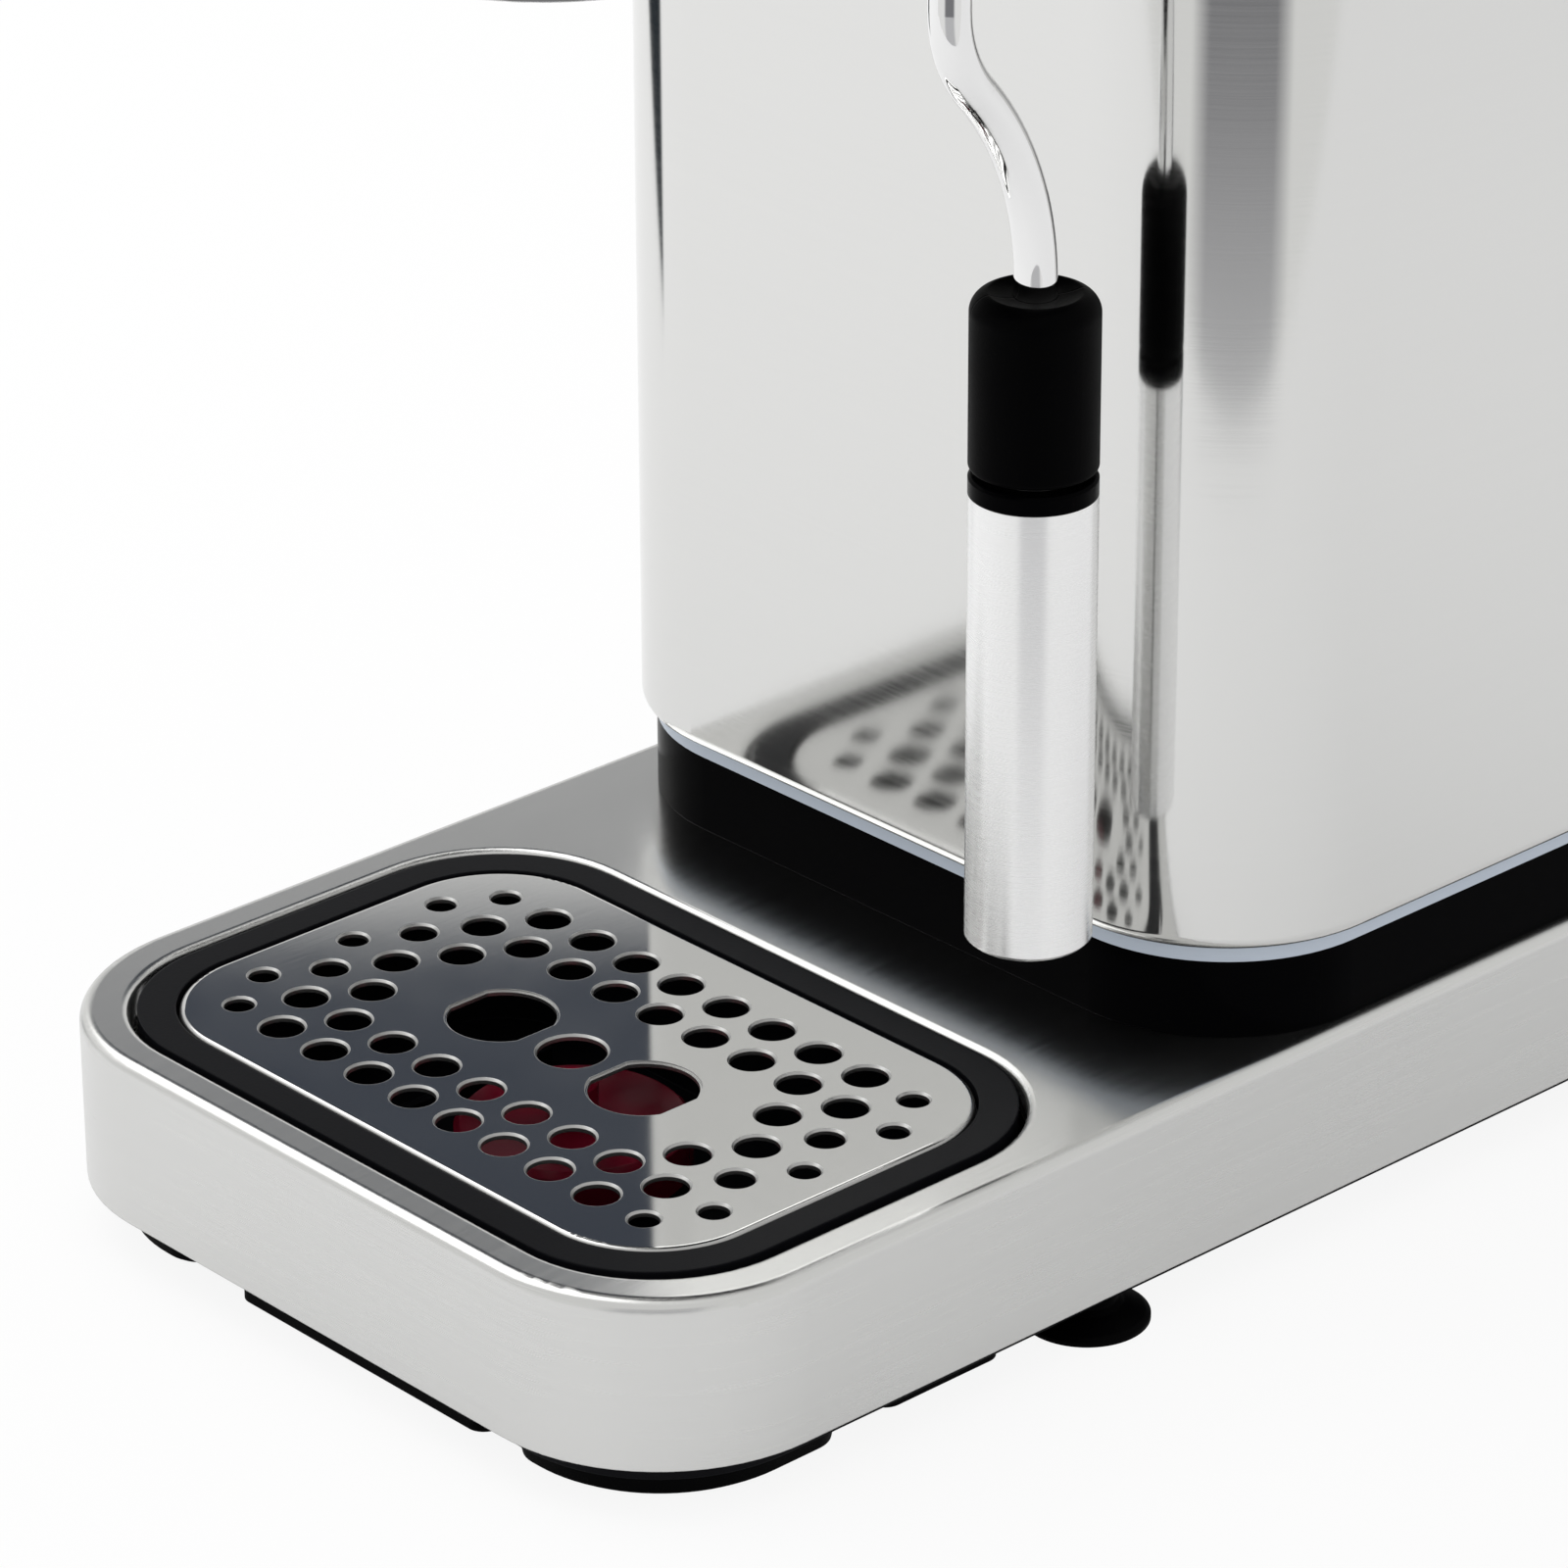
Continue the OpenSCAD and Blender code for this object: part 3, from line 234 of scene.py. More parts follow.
def noise(tree, vector, scale, detail, roughness):
    """The value of a Noise Texture."""
    node = add(tree, "TexNoise")
    wire(tree, vector, node.inputs["Vector"])
    node.inputs["Scale"].default_value = scale
    node.inputs["Detail"].default_value = detail
    node.inputs["Roughness"].default_value = roughness
    return node.outputs["Fac"]


def levelness(tree):
    """1 on level faces and 0 on upright ones."""
    normal = add(tree, "SeparateXYZ")
    wire(tree, add(tree, "TexCoord").outputs["Normal"], normal.inputs[0])
    return maths(tree, "ABSOLUTE", normal.outputs["Z"])


def new_group(name, inputs, outputs):
    """An empty shader node group; inputs are (name, default), outputs (name, type)."""
    group = bpy.data.node_groups.new(name, "ShaderNodeTree")
    for socket, default in inputs:
        made = group.interface.new_socket(socket, in_out="INPUT", socket_type="NodeSocketFloat")
        made.default_value = default
    for socket, kind in outputs:
        group.interface.new_socket(socket, in_out="OUTPUT", socket_type="NodeSocket" + kind)
    return group, group.nodes.new("NodeGroupInput"), group.nodes.new("NodeGroupOutput")


def place_group(tree, group, **values):
    """Places a node group in a tree with its own values."""
    node = tree.nodes.new("ShaderNodeGroup")
    node.node_tree = group
    for name, value in values.items():
        node.inputs[name.replace("_", " ").capitalize()].default_value = value
    return node


# ---- Shared effects ----


def make_grain_group():
    """Brush marks: level on upright faces and front to back on level faces."""
    group, start, end = new_group(
        "Brushed grain",
        (("Across", 2600), ("Along", 38), ("Contrast", 0.05)),
        (("Shade", "Float"), ("Streaks", "Float"), ("Clouds", "Float")))
    coords = add(group, "TexCoord")
    scale = add(group, "Mix", data_type="VECTOR")
    wire(group, maths(group, "GREATER_THAN", levelness(group), 0.75), scale.inputs[0])
    for socket, axes in ((4, ("Along", "Along", "Across")), (5, ("Across", "Along", "Along"))):
        marks = add(group, "CombineXYZ")
        for axis, name in zip(marks.inputs, axes):
            wire(group, start.outputs[name], axis)
        wire(group, marks.outputs[0], scale.inputs[socket])
    stretched = add(group, "VectorMath", operation="MULTIPLY")
    wire(group, coords.outputs["Object"], stretched.inputs[0])
    wire(group, scale.outputs[1], stretched.inputs[1])
    fine = noise(group, stretched.outputs[0], 1.0, 4.0, 0.62)
    coarse = noise(group, stretched.outputs[0], 0.23, 2.0, 0.5)
    streaks = maths(group, "ADD", maths(group, "MULTIPLY", fine, 0.65),
                    maths(group, "MULTIPLY", coarse, 0.35))
    clouds = noise(group, coords.outputs["Object"], 26.0, 3.0, 0.55)
    spread = maths(group, "MULTIPLY", maths(group, "SUBTRACT", streaks, 0.5),
                   start.outputs["Contrast"])
    wire(group, maths(group, "ADD", spread, 1.0), end.inputs["Shade"])
    wire(group, streaks, end.inputs["Streaks"])
    wire(group, clouds, end.inputs["Clouds"])
    return group


def make_edge_group():
    """Softened normals for sharp edges, and a mask of where those edges are."""
    group, start, end = new_group(
        "Soft edges", (("Radius", 0.0003),), (("Normal", "Vector"), ("Mask", "Float")))
    bevel = add(group, "Bevel", samples=6)
    wire(group, start.outputs["Radius"], bevel.inputs["Radius"])
    geometry = add(group, "NewGeometry")
    dot = add(group, "VectorMath", operation="DOT_PRODUCT")
    wire(group, bevel.outputs[0], dot.inputs[0])
    wire(group, geometry.outputs["Normal"], dot.inputs[1])
    wire(group, remap(group, dot.outputs["Value"], 0.999, 0.9, 0.0, 1.0), end.inputs["Mask"])
    wire(group, bevel.outputs[0], end.inputs["Normal"])
    return group


def make_mould_group():
    """Fine spark-eroded texture of a moulding, with faint clouds from handling."""
    group, start, end = new_group(
        "Mould texture", (("Grain", 1800), ("Contrast", 0.12)),
        (("Shade", "Float"), ("Height", "Float"), ("Clouds", "Float")))
    coords = add(group, "TexCoord")
    grain = add(group, "TexNoise")
    wire(group, coords.outputs["Object"], grain.inputs["Vector"])
    wire(group, start.outputs["Grain"], grain.inputs["Scale"])
    grain.inputs["Detail"].default_value = 2.0
    clouds = noise(group, coords.outputs["Object"], 34.0, 4.0, 0.6)
    spread = maths(group, "MULTIPLY", maths(group, "SUBTRACT", clouds, 0.5),
                   start.outputs["Contrast"])
    wire(group, maths(group, "ADD", spread, 1.0), end.inputs["Shade"])
    wire(group, grain.outputs["Fac"], end.inputs["Height"])
    wire(group, clouds, end.inputs["Clouds"])
    return group


class Effects:
    """The shared node groups, made once by the first operator that needs them."""

    made = {}

    @classmethod
    def get(cls, name):
        makers = {"grain": make_grain_group, "edges": make_edge_group, "mould": make_mould_group}
        if name not in cls.made:
            cls.made[name] = makers[name]()
        return cls.made[name]


# ---- Materials ----


def new_material(name):
    """A material with its Principled shader."""
    material = bpy.data.materials.new(name)
    material.use_nodes = True
    tree = material.node_tree
    return material, tree, tree.nodes["Principled BSDF"]


def tinted(tree, colour, shade):
    """A colour multiplied by a varying shade."""
    tint = add(tree, "VectorMath", operation="SCALE")
    tint.inputs[0].default_value = colour[:3]
    wire(tree, shade, tint.inputs["Scale"])
    return tint.outputs[0]


def relief(tree, height, normal, distance):
    """A Bump node, on top of a softened normal where there is one."""
    bump = add(tree, "Bump")
    bump.inputs["Strength"].default_value = 1.0
    bump.inputs["Distance"].default_value = distance
    wire(tree, height, bump.inputs["Height"])
    if normal is not None:
        wire(tree, normal, bump.inputs["Normal"])
    return bump.outputs["Normal"]


def brush_direction(tree):
    """Tangent across the brush marks: up on upright faces, sideways on level ones."""
    level = levelness(tree)
    across = add(tree, "CombineXYZ")
    wire(tree, level, across.inputs["X"])
    wire(tree, maths(tree, "SUBTRACT", 1.0, level), across.inputs["Z"])
    return across.outputs[0]


def steel_material(name, colour, roughness, across, along, contrast=0.06, spread=0.10,
                   depth=0.000012, anisotropy=0.55, radius=0.0003, level_gloss=0.0):
    """Brushed or polished stainless steel, if wished with glossier level faces."""
    material, tree, shader = new_material(name)
    grain = place_group(tree, Effects.get("grain"), across=across, along=along, contrast=contrast)
    edges = place_group(tree, Effects.get("edges"), radius=radius)
    wire(tree, tinted(tree, colour, grain.outputs["Shade"]), shader.inputs["Base Color"])
    shader.inputs["Metallic"].default_value = 1.0
    rough = clouded(tree, grain.outputs["Streaks"], roughness - spread / 2,
                    roughness + spread / 2)
    cloudy = clouded(tree, grain.outputs["Clouds"], -spread / 4, spread / 4)
    rough = maths(tree, "ADD", rough, cloudy, clamp=True)
    if level_gloss:
        rough = maths(tree, "MULTIPLY", rough,
                      remap(tree, levelness(tree), 0.90, 0.99, 1, 1 - level_gloss))
    wire(tree, rough, shader.inputs["Roughness"])
    wire(tree, relief(tree, grain.outputs["Streaks"], edges.outputs["Normal"], depth),
         shader.inputs["Normal"])
    shader.inputs["Anisotropic"].default_value = anisotropy
    wire(tree, brush_direction(tree), shader.inputs["Tangent"])
    return material


def grate_material(colour):
    """Mirror-polished plate whose pierced and turned edges stay duller than its face."""
    edge_share, edge_shade, edge_roughness = 0.9, 0.58, 0.30
    material, tree, shader = new_material("polished grate steel")
    grain = place_group(tree, Effects.get("grain"), across=5200, along=260, contrast=0.06)
    edges = place_group(tree, Effects.get("edges"), radius=0.00012)
    sloping = remap(tree, levelness(tree), 0.80, 0.985, 1, 0)
    dull = maths(tree, "MAXIMUM", sloping, edges.outputs["Mask"])
    wire(tree, mix_colour(tree, maths(tree, "MULTIPLY", dull, edge_share),
                          tinted(tree, colour, grain.outputs["Shade"]),
                          [edge_shade * channel for channel in colour]),
         shader.inputs["Base Color"])
    shader.inputs["Metallic"].default_value = 1.0
    haze = clouded(tree, grain.outputs["Clouds"], 0.035, 0.065)
    wire(tree, maths(tree, "ADD", haze, maths(tree, "MULTIPLY", dull, edge_roughness)),
         shader.inputs["Roughness"])
    wire(tree, relief(tree, grain.outputs["Streaks"], edges.outputs["Normal"], 0.0000008),
         shader.inputs["Normal"])
    return material


def plated_material(name, colour, roughness):
    """Chrome or another bright plating, with the faintest wipe marks."""
    material, tree, shader = new_material(name)
    mould = place_group(tree, Effects.get("mould"), grain=240, contrast=0.03)
    edges = place_group(tree, Effects.get("edges"), radius=0.0002)
    wire(tree, tinted(tree, colour, mould.outputs["Shade"]), shader.inputs["Base Color"])
    shader.inputs["Metallic"].default_value = 1.0
    wire(tree, clouded(tree, mould.outputs["Clouds"], roughness * 0.6, roughness * 1.5),
         shader.inputs["Roughness"])
    wire(tree, edges.outputs["Normal"], shader.inputs["Normal"])
    return material


def moulded_material(name, colour, roughness, grain=1800, depth=0.00001, radius=0.0003,
                     specular=0.5, wear=0.0):
    """Satin or gloss moulding, or rubber, by its roughness and grain."""
    material, tree, shader = new_material(name)
    mould = place_group(tree, Effects.get("mould"), grain=grain, contrast=0.16)
    edges = place_group(tree, Effects.get("edges"), radius=radius)
    base = tinted(tree, colour, mould.outputs["Shade"])
    lighter = [min(1.0, 1.7 * channel + 0.004) for channel in colour[:3]]
    worn = maths(tree, "MULTIPLY", edges.outputs["Mask"], wear)
    wire(tree, mix_colour(tree, worn, base, lighter), shader.inputs["Base Color"])
    wire(tree, clouded(tree, mould.outputs["Clouds"], roughness * 0.9, roughness * 1.1),
         shader.inputs["Roughness"])
    wire(tree, relief(tree, mould.outputs["Height"], edges.outputs["Normal"], depth),
         shader.inputs["Normal"])
    shader.inputs["Specular IOR Level"].default_value = specular
    return material


def grip_material(colour):
    """Soft rubber with the fine line where its mould closes."""
    material = moulded_material("grip rubber", colour, 0.46, grain=2200, depth=0.00002,
                                radius=0.0006, specular=0.022, wear=0.05)
    tree = material.node_tree
    bump = next(node for node in tree.nodes if node.bl_idname == "ShaderNodeBump")
    middle = centre_of("wand_grip")
    closing = math.radians(60)
    across = Vector((-math.sin(closing), math.cos(closing), 0))
    line_width, line_depth = 0.00022, 5.0
    coords = add(tree, "TexCoord")
    offset = add(tree, "VectorMath", operation="DOT_PRODUCT")
    wire(tree, coords.outputs["Object"], offset.inputs[0])
    offset.inputs[1].default_value = across
    distance = maths(tree, "ABSOLUTE",
                     maths(tree, "SUBTRACT", offset.outputs["Value"], middle.dot(across)))
    line = remap(tree, distance, 0.0, line_width, 0.0, 1.0)
    grain = bump.inputs["Height"].links[0].from_socket
    wire(tree, maths(tree, "ADD", grain, maths(tree, "MULTIPLY", line, line_depth)),
         bump.inputs["Height"])
    return material


def cast_metal():
    """Cast aluminium: coarse grain and a dull skin."""
    material, tree, shader = new_material("cast aluminium")
    mould = place_group(tree, Effects.get("mould"), grain=900, contrast=0.25)
    wire(tree, tinted(tree, (0.55, 0.56, 0.57), mould.outputs["Shade"]),
         shader.inputs["Base Color"])
    shader.inputs["Metallic"].default_value = 1.0
    wire(tree, clouded(tree, mould.outputs["Clouds"], 0.42, 0.6),
         shader.inputs["Roughness"])
    wire(tree, relief(tree, mould.outputs["Height"], None, 0.00008), shader.inputs["Normal"])
    return material


def clear_material(name, colour, roughness):
    """Tinted clear plastic with faint flow marks."""
    material, tree, shader = new_material(name)
    mould = place_group(tree, Effects.get("mould"), grain=160, contrast=0.06)
    wire(tree, tinted(tree, colour, mould.outputs["Shade"]), shader.inputs["Base Color"])
    wire(tree, clouded(tree, mould.outputs["Clouds"], roughness * 0.7, roughness * 1.4),
         shader.inputs["Roughness"])
    shader.inputs["IOR"].default_value = 1.49
    shader.inputs["Transmission Weight"].default_value = 0.85
    return material


def lit_material(name, colour, strength):
    """Milky plastic lit from behind, a little uneven along its length."""
    material, tree, shader = new_material(name)
    mould = place_group(tree, Effects.get("mould"), grain=300, contrast=0.10)
    glow = tinted(tree, colour, mould.outputs["Shade"])
    wire(tree, glow, shader.inputs["Base Color"])
    wire(tree, glow, shader.inputs["Emission Color"])
    shader.inputs["Emission Strength"].default_value = strength
    wire(tree, clouded(tree, mould.outputs["Clouds"], 0.30, 0.42),
         shader.inputs["Roughness"])
    return material


def board_material():
    """Green circuit board: copper lanes under the lacquer."""
    material, tree, shader = new_material("circuit board")
    coords = add(tree, "TexCoord")
    brick = add(tree, "TexBrick")
    wire(tree, coords.outputs["Object"], brick.inputs["Vector"])
    brick.inputs["Scale"].default_value = 120
    brick.inputs["Color1"].default_value = (0.012, 0.09, 0.035, 1)
    brick.inputs["Color2"].default_value = (0.018, 0.13, 0.05, 1)
    brick.inputs["Mortar"].default_value = (0.03, 0.22, 0.08, 1)
    wire(tree, brick.outputs["Color"], shader.inputs["Base Color"])
    wire(tree, remap(tree, brick.outputs["Fac"], 0, 1, 0.3, 0.5), shader.inputs["Roughness"])
    return material


def dress(names, material):
    """Gives the named nodes one material."""
    for name in names:
        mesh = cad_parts[name].data
        mesh.materials.clear()
        mesh.materials.append(material)


# ---- Helpers for pieces ----


def ordered_mesh(name, builder):
    """A bmesh as a mesh whose points and faces come in the same order at each run."""
    points = sorted(builder.verts, key=lambda vert: tuple(vert.co))
    rank = {vert: number for number, vert in enumerate(points)}
    faces = []
    for face in builder.faces:
        ring = [rank[vert] for vert in face.verts]
        first = ring.index(min(ring))
        faces.append(ring[first:] + ring[:first])
    mesh = bpy.data.meshes.new(name)
    mesh.from_pydata([vert.co for vert in points], [], sorted(faces))
    return mesh


def finish_piece(name, mesh_builder, material, body):
    """Turns a bmesh into an object at the origin that rides on a body."""
    bmesh.ops.remove_doubles(mesh_builder, verts=mesh_builder.verts, dist=1e-7)
    bmesh.ops.recalc_face_normals(mesh_builder, faces=mesh_builder.faces)
    mesh = ordered_mesh(name, mesh_builder)
    mesh_builder.free()
    mesh.materials.append(material)
    piece = bpy.data.objects.new(name, mesh)
    bpy.context.collection.objects.link(piece)
    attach(piece, body)
    return piece


def centre_of(node):
    """Middle of a node's box."""
    low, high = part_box(node)
    return (Vector(low) + Vector(high)) / 2


def add_plate(builder, place, size, edge):
    """A small plate with rounded edges, centred on place."""
    made = bmesh.ops.create_cube(builder, size=1.0)
    bmesh.ops.scale(builder, vec=size, verts=made["verts"])
    bmesh.ops.translate(builder, vec=place, verts=made["verts"])
    edges = list({e for v in made["verts"] for e in v.link_edges})
    bmesh.ops.bevel(builder, geom=edges, offset=edge, offset_type="OFFSET", affect="EDGES",
                    segments=2, profile=0.5, material=-1)


def add_outline(builder, outline, place, depth, edge):
    """A flat shape that faces the front: its outline is given as (x, z) round place."""
    verts = [builder.verts.new((place[0] + x, place[1], place[2] + z)) for x, z in outline]
    face = builder.faces.new(verts)
    raised = bmesh.ops.extrude_face_region(builder, geom=[face])
    front = [item for item in raised["geom"] if isinstance(item, bmesh.types.BMVert)]
    bmesh.ops.translate(builder, vec=(0, -depth, 0), verts=front)
    rim = [e for e in {e for v in front for e in v.link_edges}
           if all(vert in front for vert in e.verts)]
    bmesh.ops.bevel(builder, geom=rim, offset=edge, offset_type="OFFSET", affect="EDGES",
                    segments=1, profile=0.5, material=-1)


def add_lens(builder, place, radius, rise, sink):
    """A small domed lens that faces the front, spun round its own axis."""
    steps = 5
    profile = [builder.verts.new((place[0] + radius, place[1] + sink, place[2]))]
    for step in range(steps + 1):
        angle = math.pi / 2 * step / steps
        profile.append(builder.verts.new((
            place[0] + radius * math.cos(angle), place[1] - rise * math.sin(angle), place[2])))
    edges = [builder.edges.new(pair) for pair in zip(profile, profile[1:])]
    bmesh.ops.spin(builder, geom=profile + edges, cent=place, axis=(0, 1, 0),
                   angle=2 * math.pi, steps=24, use_merge=True)


def drop_outline(size):
    """A water drop, point up."""
    steps, breadth, pointedness = 40, size * 0.52, 1.4
    points = []
    for step in range(steps):
        angle = 2 * math.pi * step / steps
        points.append((breadth * math.sin(angle) * math.sin(angle / 2) ** pointedness,
                       size / 2 * math.cos(angle)))
    return points


def steam_outline(size):
    """One wisp of steam: an upright wavy stroke with square ends."""
    steps, sway, half = 14, 0.10 * size, 0.055 * size
    stroke = [(sway * math.sin(2 * math.pi * step / steps), size * (step / steps - 0.5))
              for step in range(steps + 1)]
    return [(x + half, z) for x, z in stroke] + [(x - half, z) for x, z in reversed(stroke)]


# ---- Stage ----

# Each START and END is the range of heights, as sines of elevation, of a soft edge.

FLOOR_WHITE = (0.92, 0.92, 0.92)
ROOM_WHITE = (0.80, 0.80, 0.79)
WALL_FOOT = (0.060, 0.069, 0.088)
WALL_TOP = (0.030, 0.034, 0.042)
WALL_END = (0.72, 0.88)
GAP_GREY = (0.50, 0.50, 0.51)
GAP_DARK = (0.19, 0.19, 0.20)
GAP_WIDTH = math.radians(23)
GAP_END = (0.30, 0.50)
GAP_DARK_START = (-0.362, -0.335)
GAP_DARK_END = (-0.21, -0.18)
# A dark patch painted on the floor that only reflections off metal show, a painted reflection:
# its colour, direction, width, edge, distance and blur.
PAINTED_REFLECTION_DARK = (0.02, 0.025, 0.03)
PAINTED_REFLECTION_AZIMUTH = math.radians(190)
PAINTED_REFLECTION_WIDTH = math.radians(10)
PAINTED_REFLECTION_EDGE = (0.287, 0.958, 0)
PAINTED_REFLECTION_DISTANCE = 0.217
PAINTED_REFLECTION_BLUR = 0.015


def background_share(tree, direct, reflected):
    """Share of plain white for rays from the camera or through glass, and off metal."""
    path = add(tree, "LightPath")
    seen = maths(tree, "MAXIMUM", path.outputs["Is Camera Ray"],
                 path.outputs["Is Transmission Ray"])
    return maths(tree, "MAXIMUM", maths(tree, "MULTIPLY", seen, direct),
                 maths(tree, "MULTIPLY", path.outputs["Is Glossy Ray"], reflected))


def facing(tree, direction, azimuth, half_width, softness):
    """1 for directions whose azimuth lies within half_width of azimuth, else 0."""
    level = add(tree, "VectorMath", operation="MULTIPLY")
    wire(tree, direction, level.inputs[0])
    level.inputs[1].default_value = (1, 1, 0)
    unit = add(tree, "VectorMath", operation="NORMALIZE")
    wire(tree, level.outputs["Vector"], unit.inputs[0])
    dot = add(tree, "VectorMath", operation="DOT_PRODUCT")
    wire(tree, unit.outputs["Vector"], dot.inputs[0])
    dot.inputs[1].default_value = (math.cos(azimuth), math.sin(azimuth), 0)
    return remap(tree, dot.outputs["Value"], math.cos(half_width + softness),
                 math.cos(half_width - softness), 0, 1)


def painted_reflection_patch(tree):
    """1 where rays off metal meet a dark patch painted on the floor at the table's far left: a
    painted reflection that only glossy rays see.
    """
    place = add(tree, "TexCoord").outputs["Object"]
    beyond = add(tree, "VectorMath", operation="DOT_PRODUCT")
    wire(tree, place, beyond.inputs[0])
    beyond.inputs[1].default_value = PAINTED_REFLECTION_EDGE
    reflected_patch = maths(tree, "MULTIPLY",
                 facing(tree, place, PAINTED_REFLECTION_AZIMUTH, PAINTED_REFLECTION_WIDTH, math.radians(1)),
                 remap(tree, beyond.outputs["Value"], -PAINTED_REFLECTION_DISTANCE - PAINTED_REFLECTION_BLUR,
                       -PAINTED_REFLECTION_DISTANCE, 1, 0))
    return maths(tree, "MULTIPLY", reflected_patch, add(tree, "LightPath").outputs["Is Glossy Ray"])


def make_floor(stage):
    """White table top that keeps a soft part of the object's shadow, with a dark patch of painted
    reflection that only metal shows.
    """
    side = Vector((stage.camera_place[0], stage.camera_place[1], 0)).normalized()
    builder = bmesh.new()
    bmesh.ops.create_grid(builder, x_segments=1, y_segments=1, size=stage.floor_width / 2)
    bmesh.ops.translate(builder, vec=(0, stage.floor_front - stage.floor_width / 2, 0),
                        verts=builder.verts)
    turn = Matrix.Rotation(math.atan2(side.y, side.x) - math.pi / 2, 4, "Z")
    bmesh.ops.transform(builder, matrix=turn, verts=builder.verts)
    mesh = bpy.data.meshes.new("floor")
    builder.to_mesh(mesh)
    builder.free()
    material = bpy.data.materials.new("white floor")
    material.use_nodes = True
    tree = material.node_tree
    tree.nodes.clear()
    # Painted reflection: a dark patch on the floor that only glossy rays see.
    reflected_patch = painted_reflection_patch(tree)
    diffuse = add(tree, "BsdfDiffuse")
    wire(tree, mix_colour(tree, reflected_patch, FLOOR_WHITE, PAINTED_REFLECTION_DARK), diffuse.inputs["Color"])
    glow = add(tree, "Emission")
    glow.inputs["Color"].default_value = (1, 1, 1, 1)
    glow.inputs["Strength"].default_value = 1.0
    shown = add(tree, "MixShader")
    white = background_share(tree, direct=0.9, reflected=0.3)
    wire(tree, maths(tree, "MULTIPLY", white, maths(tree, "SUBTRACT", 1.0, reflected_patch)),
         shown.inputs[0])
    wire(tree, diffuse.outputs[0], shown.inputs[1])
    wire(tree, glow.outputs[0], shown.inputs[2])
    output = add(tree, "OutputMaterial")
    wire(tree, shown.outputs[0], output.inputs["Surface"])
    mesh.materials.append(material)
    floor = bpy.data.objects.new("floor", mesh)
    bpy.context.collection.objects.link(floor)


def plain_background(tree, strength):
    """White light of one strength from all round."""
    background = add(tree, "Background")
    background.inputs["Color"].default_value = (1, 1, 1, 1)
    background.inputs["Strength"].default_value = strength
    return background


def make_room(context, stage):
    """White room: what metal shows of it is a dark wall and a grey gap on the camera's side."""
    world = bpy.data.worlds.new("room")
    context.scene.world = world
    world.use_nodes = True
    tree = world.node_tree
    tree.nodes.clear()
    direction = add(tree, "TexCoord").outputs["Generated"]
    split = add(tree, "SeparateXYZ")
    wire(tree, direction, split.inputs[0])
    height = split.outputs["Z"]
    low = math.sin(stage.backdrop_top)
    above = maths(tree, "MULTIPLY", remap(tree, height, low - 0.005, low + 0.005, 0, 1),
                  remap(tree, height, *WALL_END, 1, 0))
    wall = maths(tree, "MULTIPLY", above, facing(
        tree, direction, stage.dark_azimuth, stage.dark_width, math.radians(8)))
    slate = mix_colour(tree, remap(tree, height, low, 0.75, 0, 1), WALL_FOOT, WALL_TOP)
    camera_azimuth = math.atan2(stage.camera_place[1], stage.camera_place[0])
    gap = maths(tree, "MULTIPLY", remap(tree, height, *GAP_END, 1, 0),
                facing(tree, direction, camera_azimuth, GAP_WIDTH, math.radians(5)))
    deep = maths(tree, "MULTIPLY", remap(tree, height, *GAP_DARK_START, 0, 1),
                 remap(tree, height, *GAP_DARK_END, 1, 0))
    colour = mix_colour(tree, gap, mix_colour(tree, wall, ROOM_WHITE, slate),
                        mix_colour(tree, deep, GAP_GREY, GAP_DARK))
    reflected = add(tree, "Background")
    wire(tree, colour, reflected.inputs["Color"])
    reflected.inputs["Strength"].default_value = 1.0
    path = add(tree, "LightPath")
    lit = add(tree, "MixShader")
    wire(tree, path.outputs["Is Glossy Ray"], lit.inputs[0])
    wire(tree, plain_background(tree, stage.room_light).outputs[0], lit.inputs[1])
    wire(tree, reflected.outputs[0], lit.inputs[2])
    shown = add(tree, "MixShader")
    wire(tree, maths(tree, "MAXIMUM", path.outputs["Is Camera Ray"],
                     path.outputs["Is Transmission Ray"]), shown.inputs[0])
    wire(tree, lit.outputs[0], shown.inputs[1])
    wire(tree, plain_background(tree, 1.0).outputs[0], shown.inputs[2])
    output = add(tree, "OutputWorld")
    wire(tree, shown.outputs[0], output.inputs["Surface"])


def make_softbox():
    """One wide softbox above and to the left."""
    lamp = bpy.data.lights.new("softbox", "AREA")
    lamp.shape = "SQUARE"
    lamp.size = 1.3
    lamp.energy = 8.5
    holder = bpy.data.objects.new("softbox", lamp)
    holder.location = (-0.75, -0.30, 1.30)
    holder.rotation_euler = (-holder.location).to_track_quat("-Z", "Y").to_euler()
    bpy.context.collection.objects.link(holder)


def make_camera(context, stage):
    """The scene's camera."""
    data = bpy.data.cameras.new("camera")
    data.sensor_width = 36
    data.lens = stage.camera_lens
    data.clip_start = 0.05
    camera = bpy.data.objects.new("camera", data)
    camera.location = stage.camera_place
    camera.rotation_euler = stage.camera_turn
    bpy.context.collection.objects.link(camera)
    context.scene.camera = camera


# ---- Operators ----


class MachineOperator(bpy.types.Operator):
    """Base of the operators: registers nothing by itself."""

    bl_options = {"REGISTER", "UNDO"}


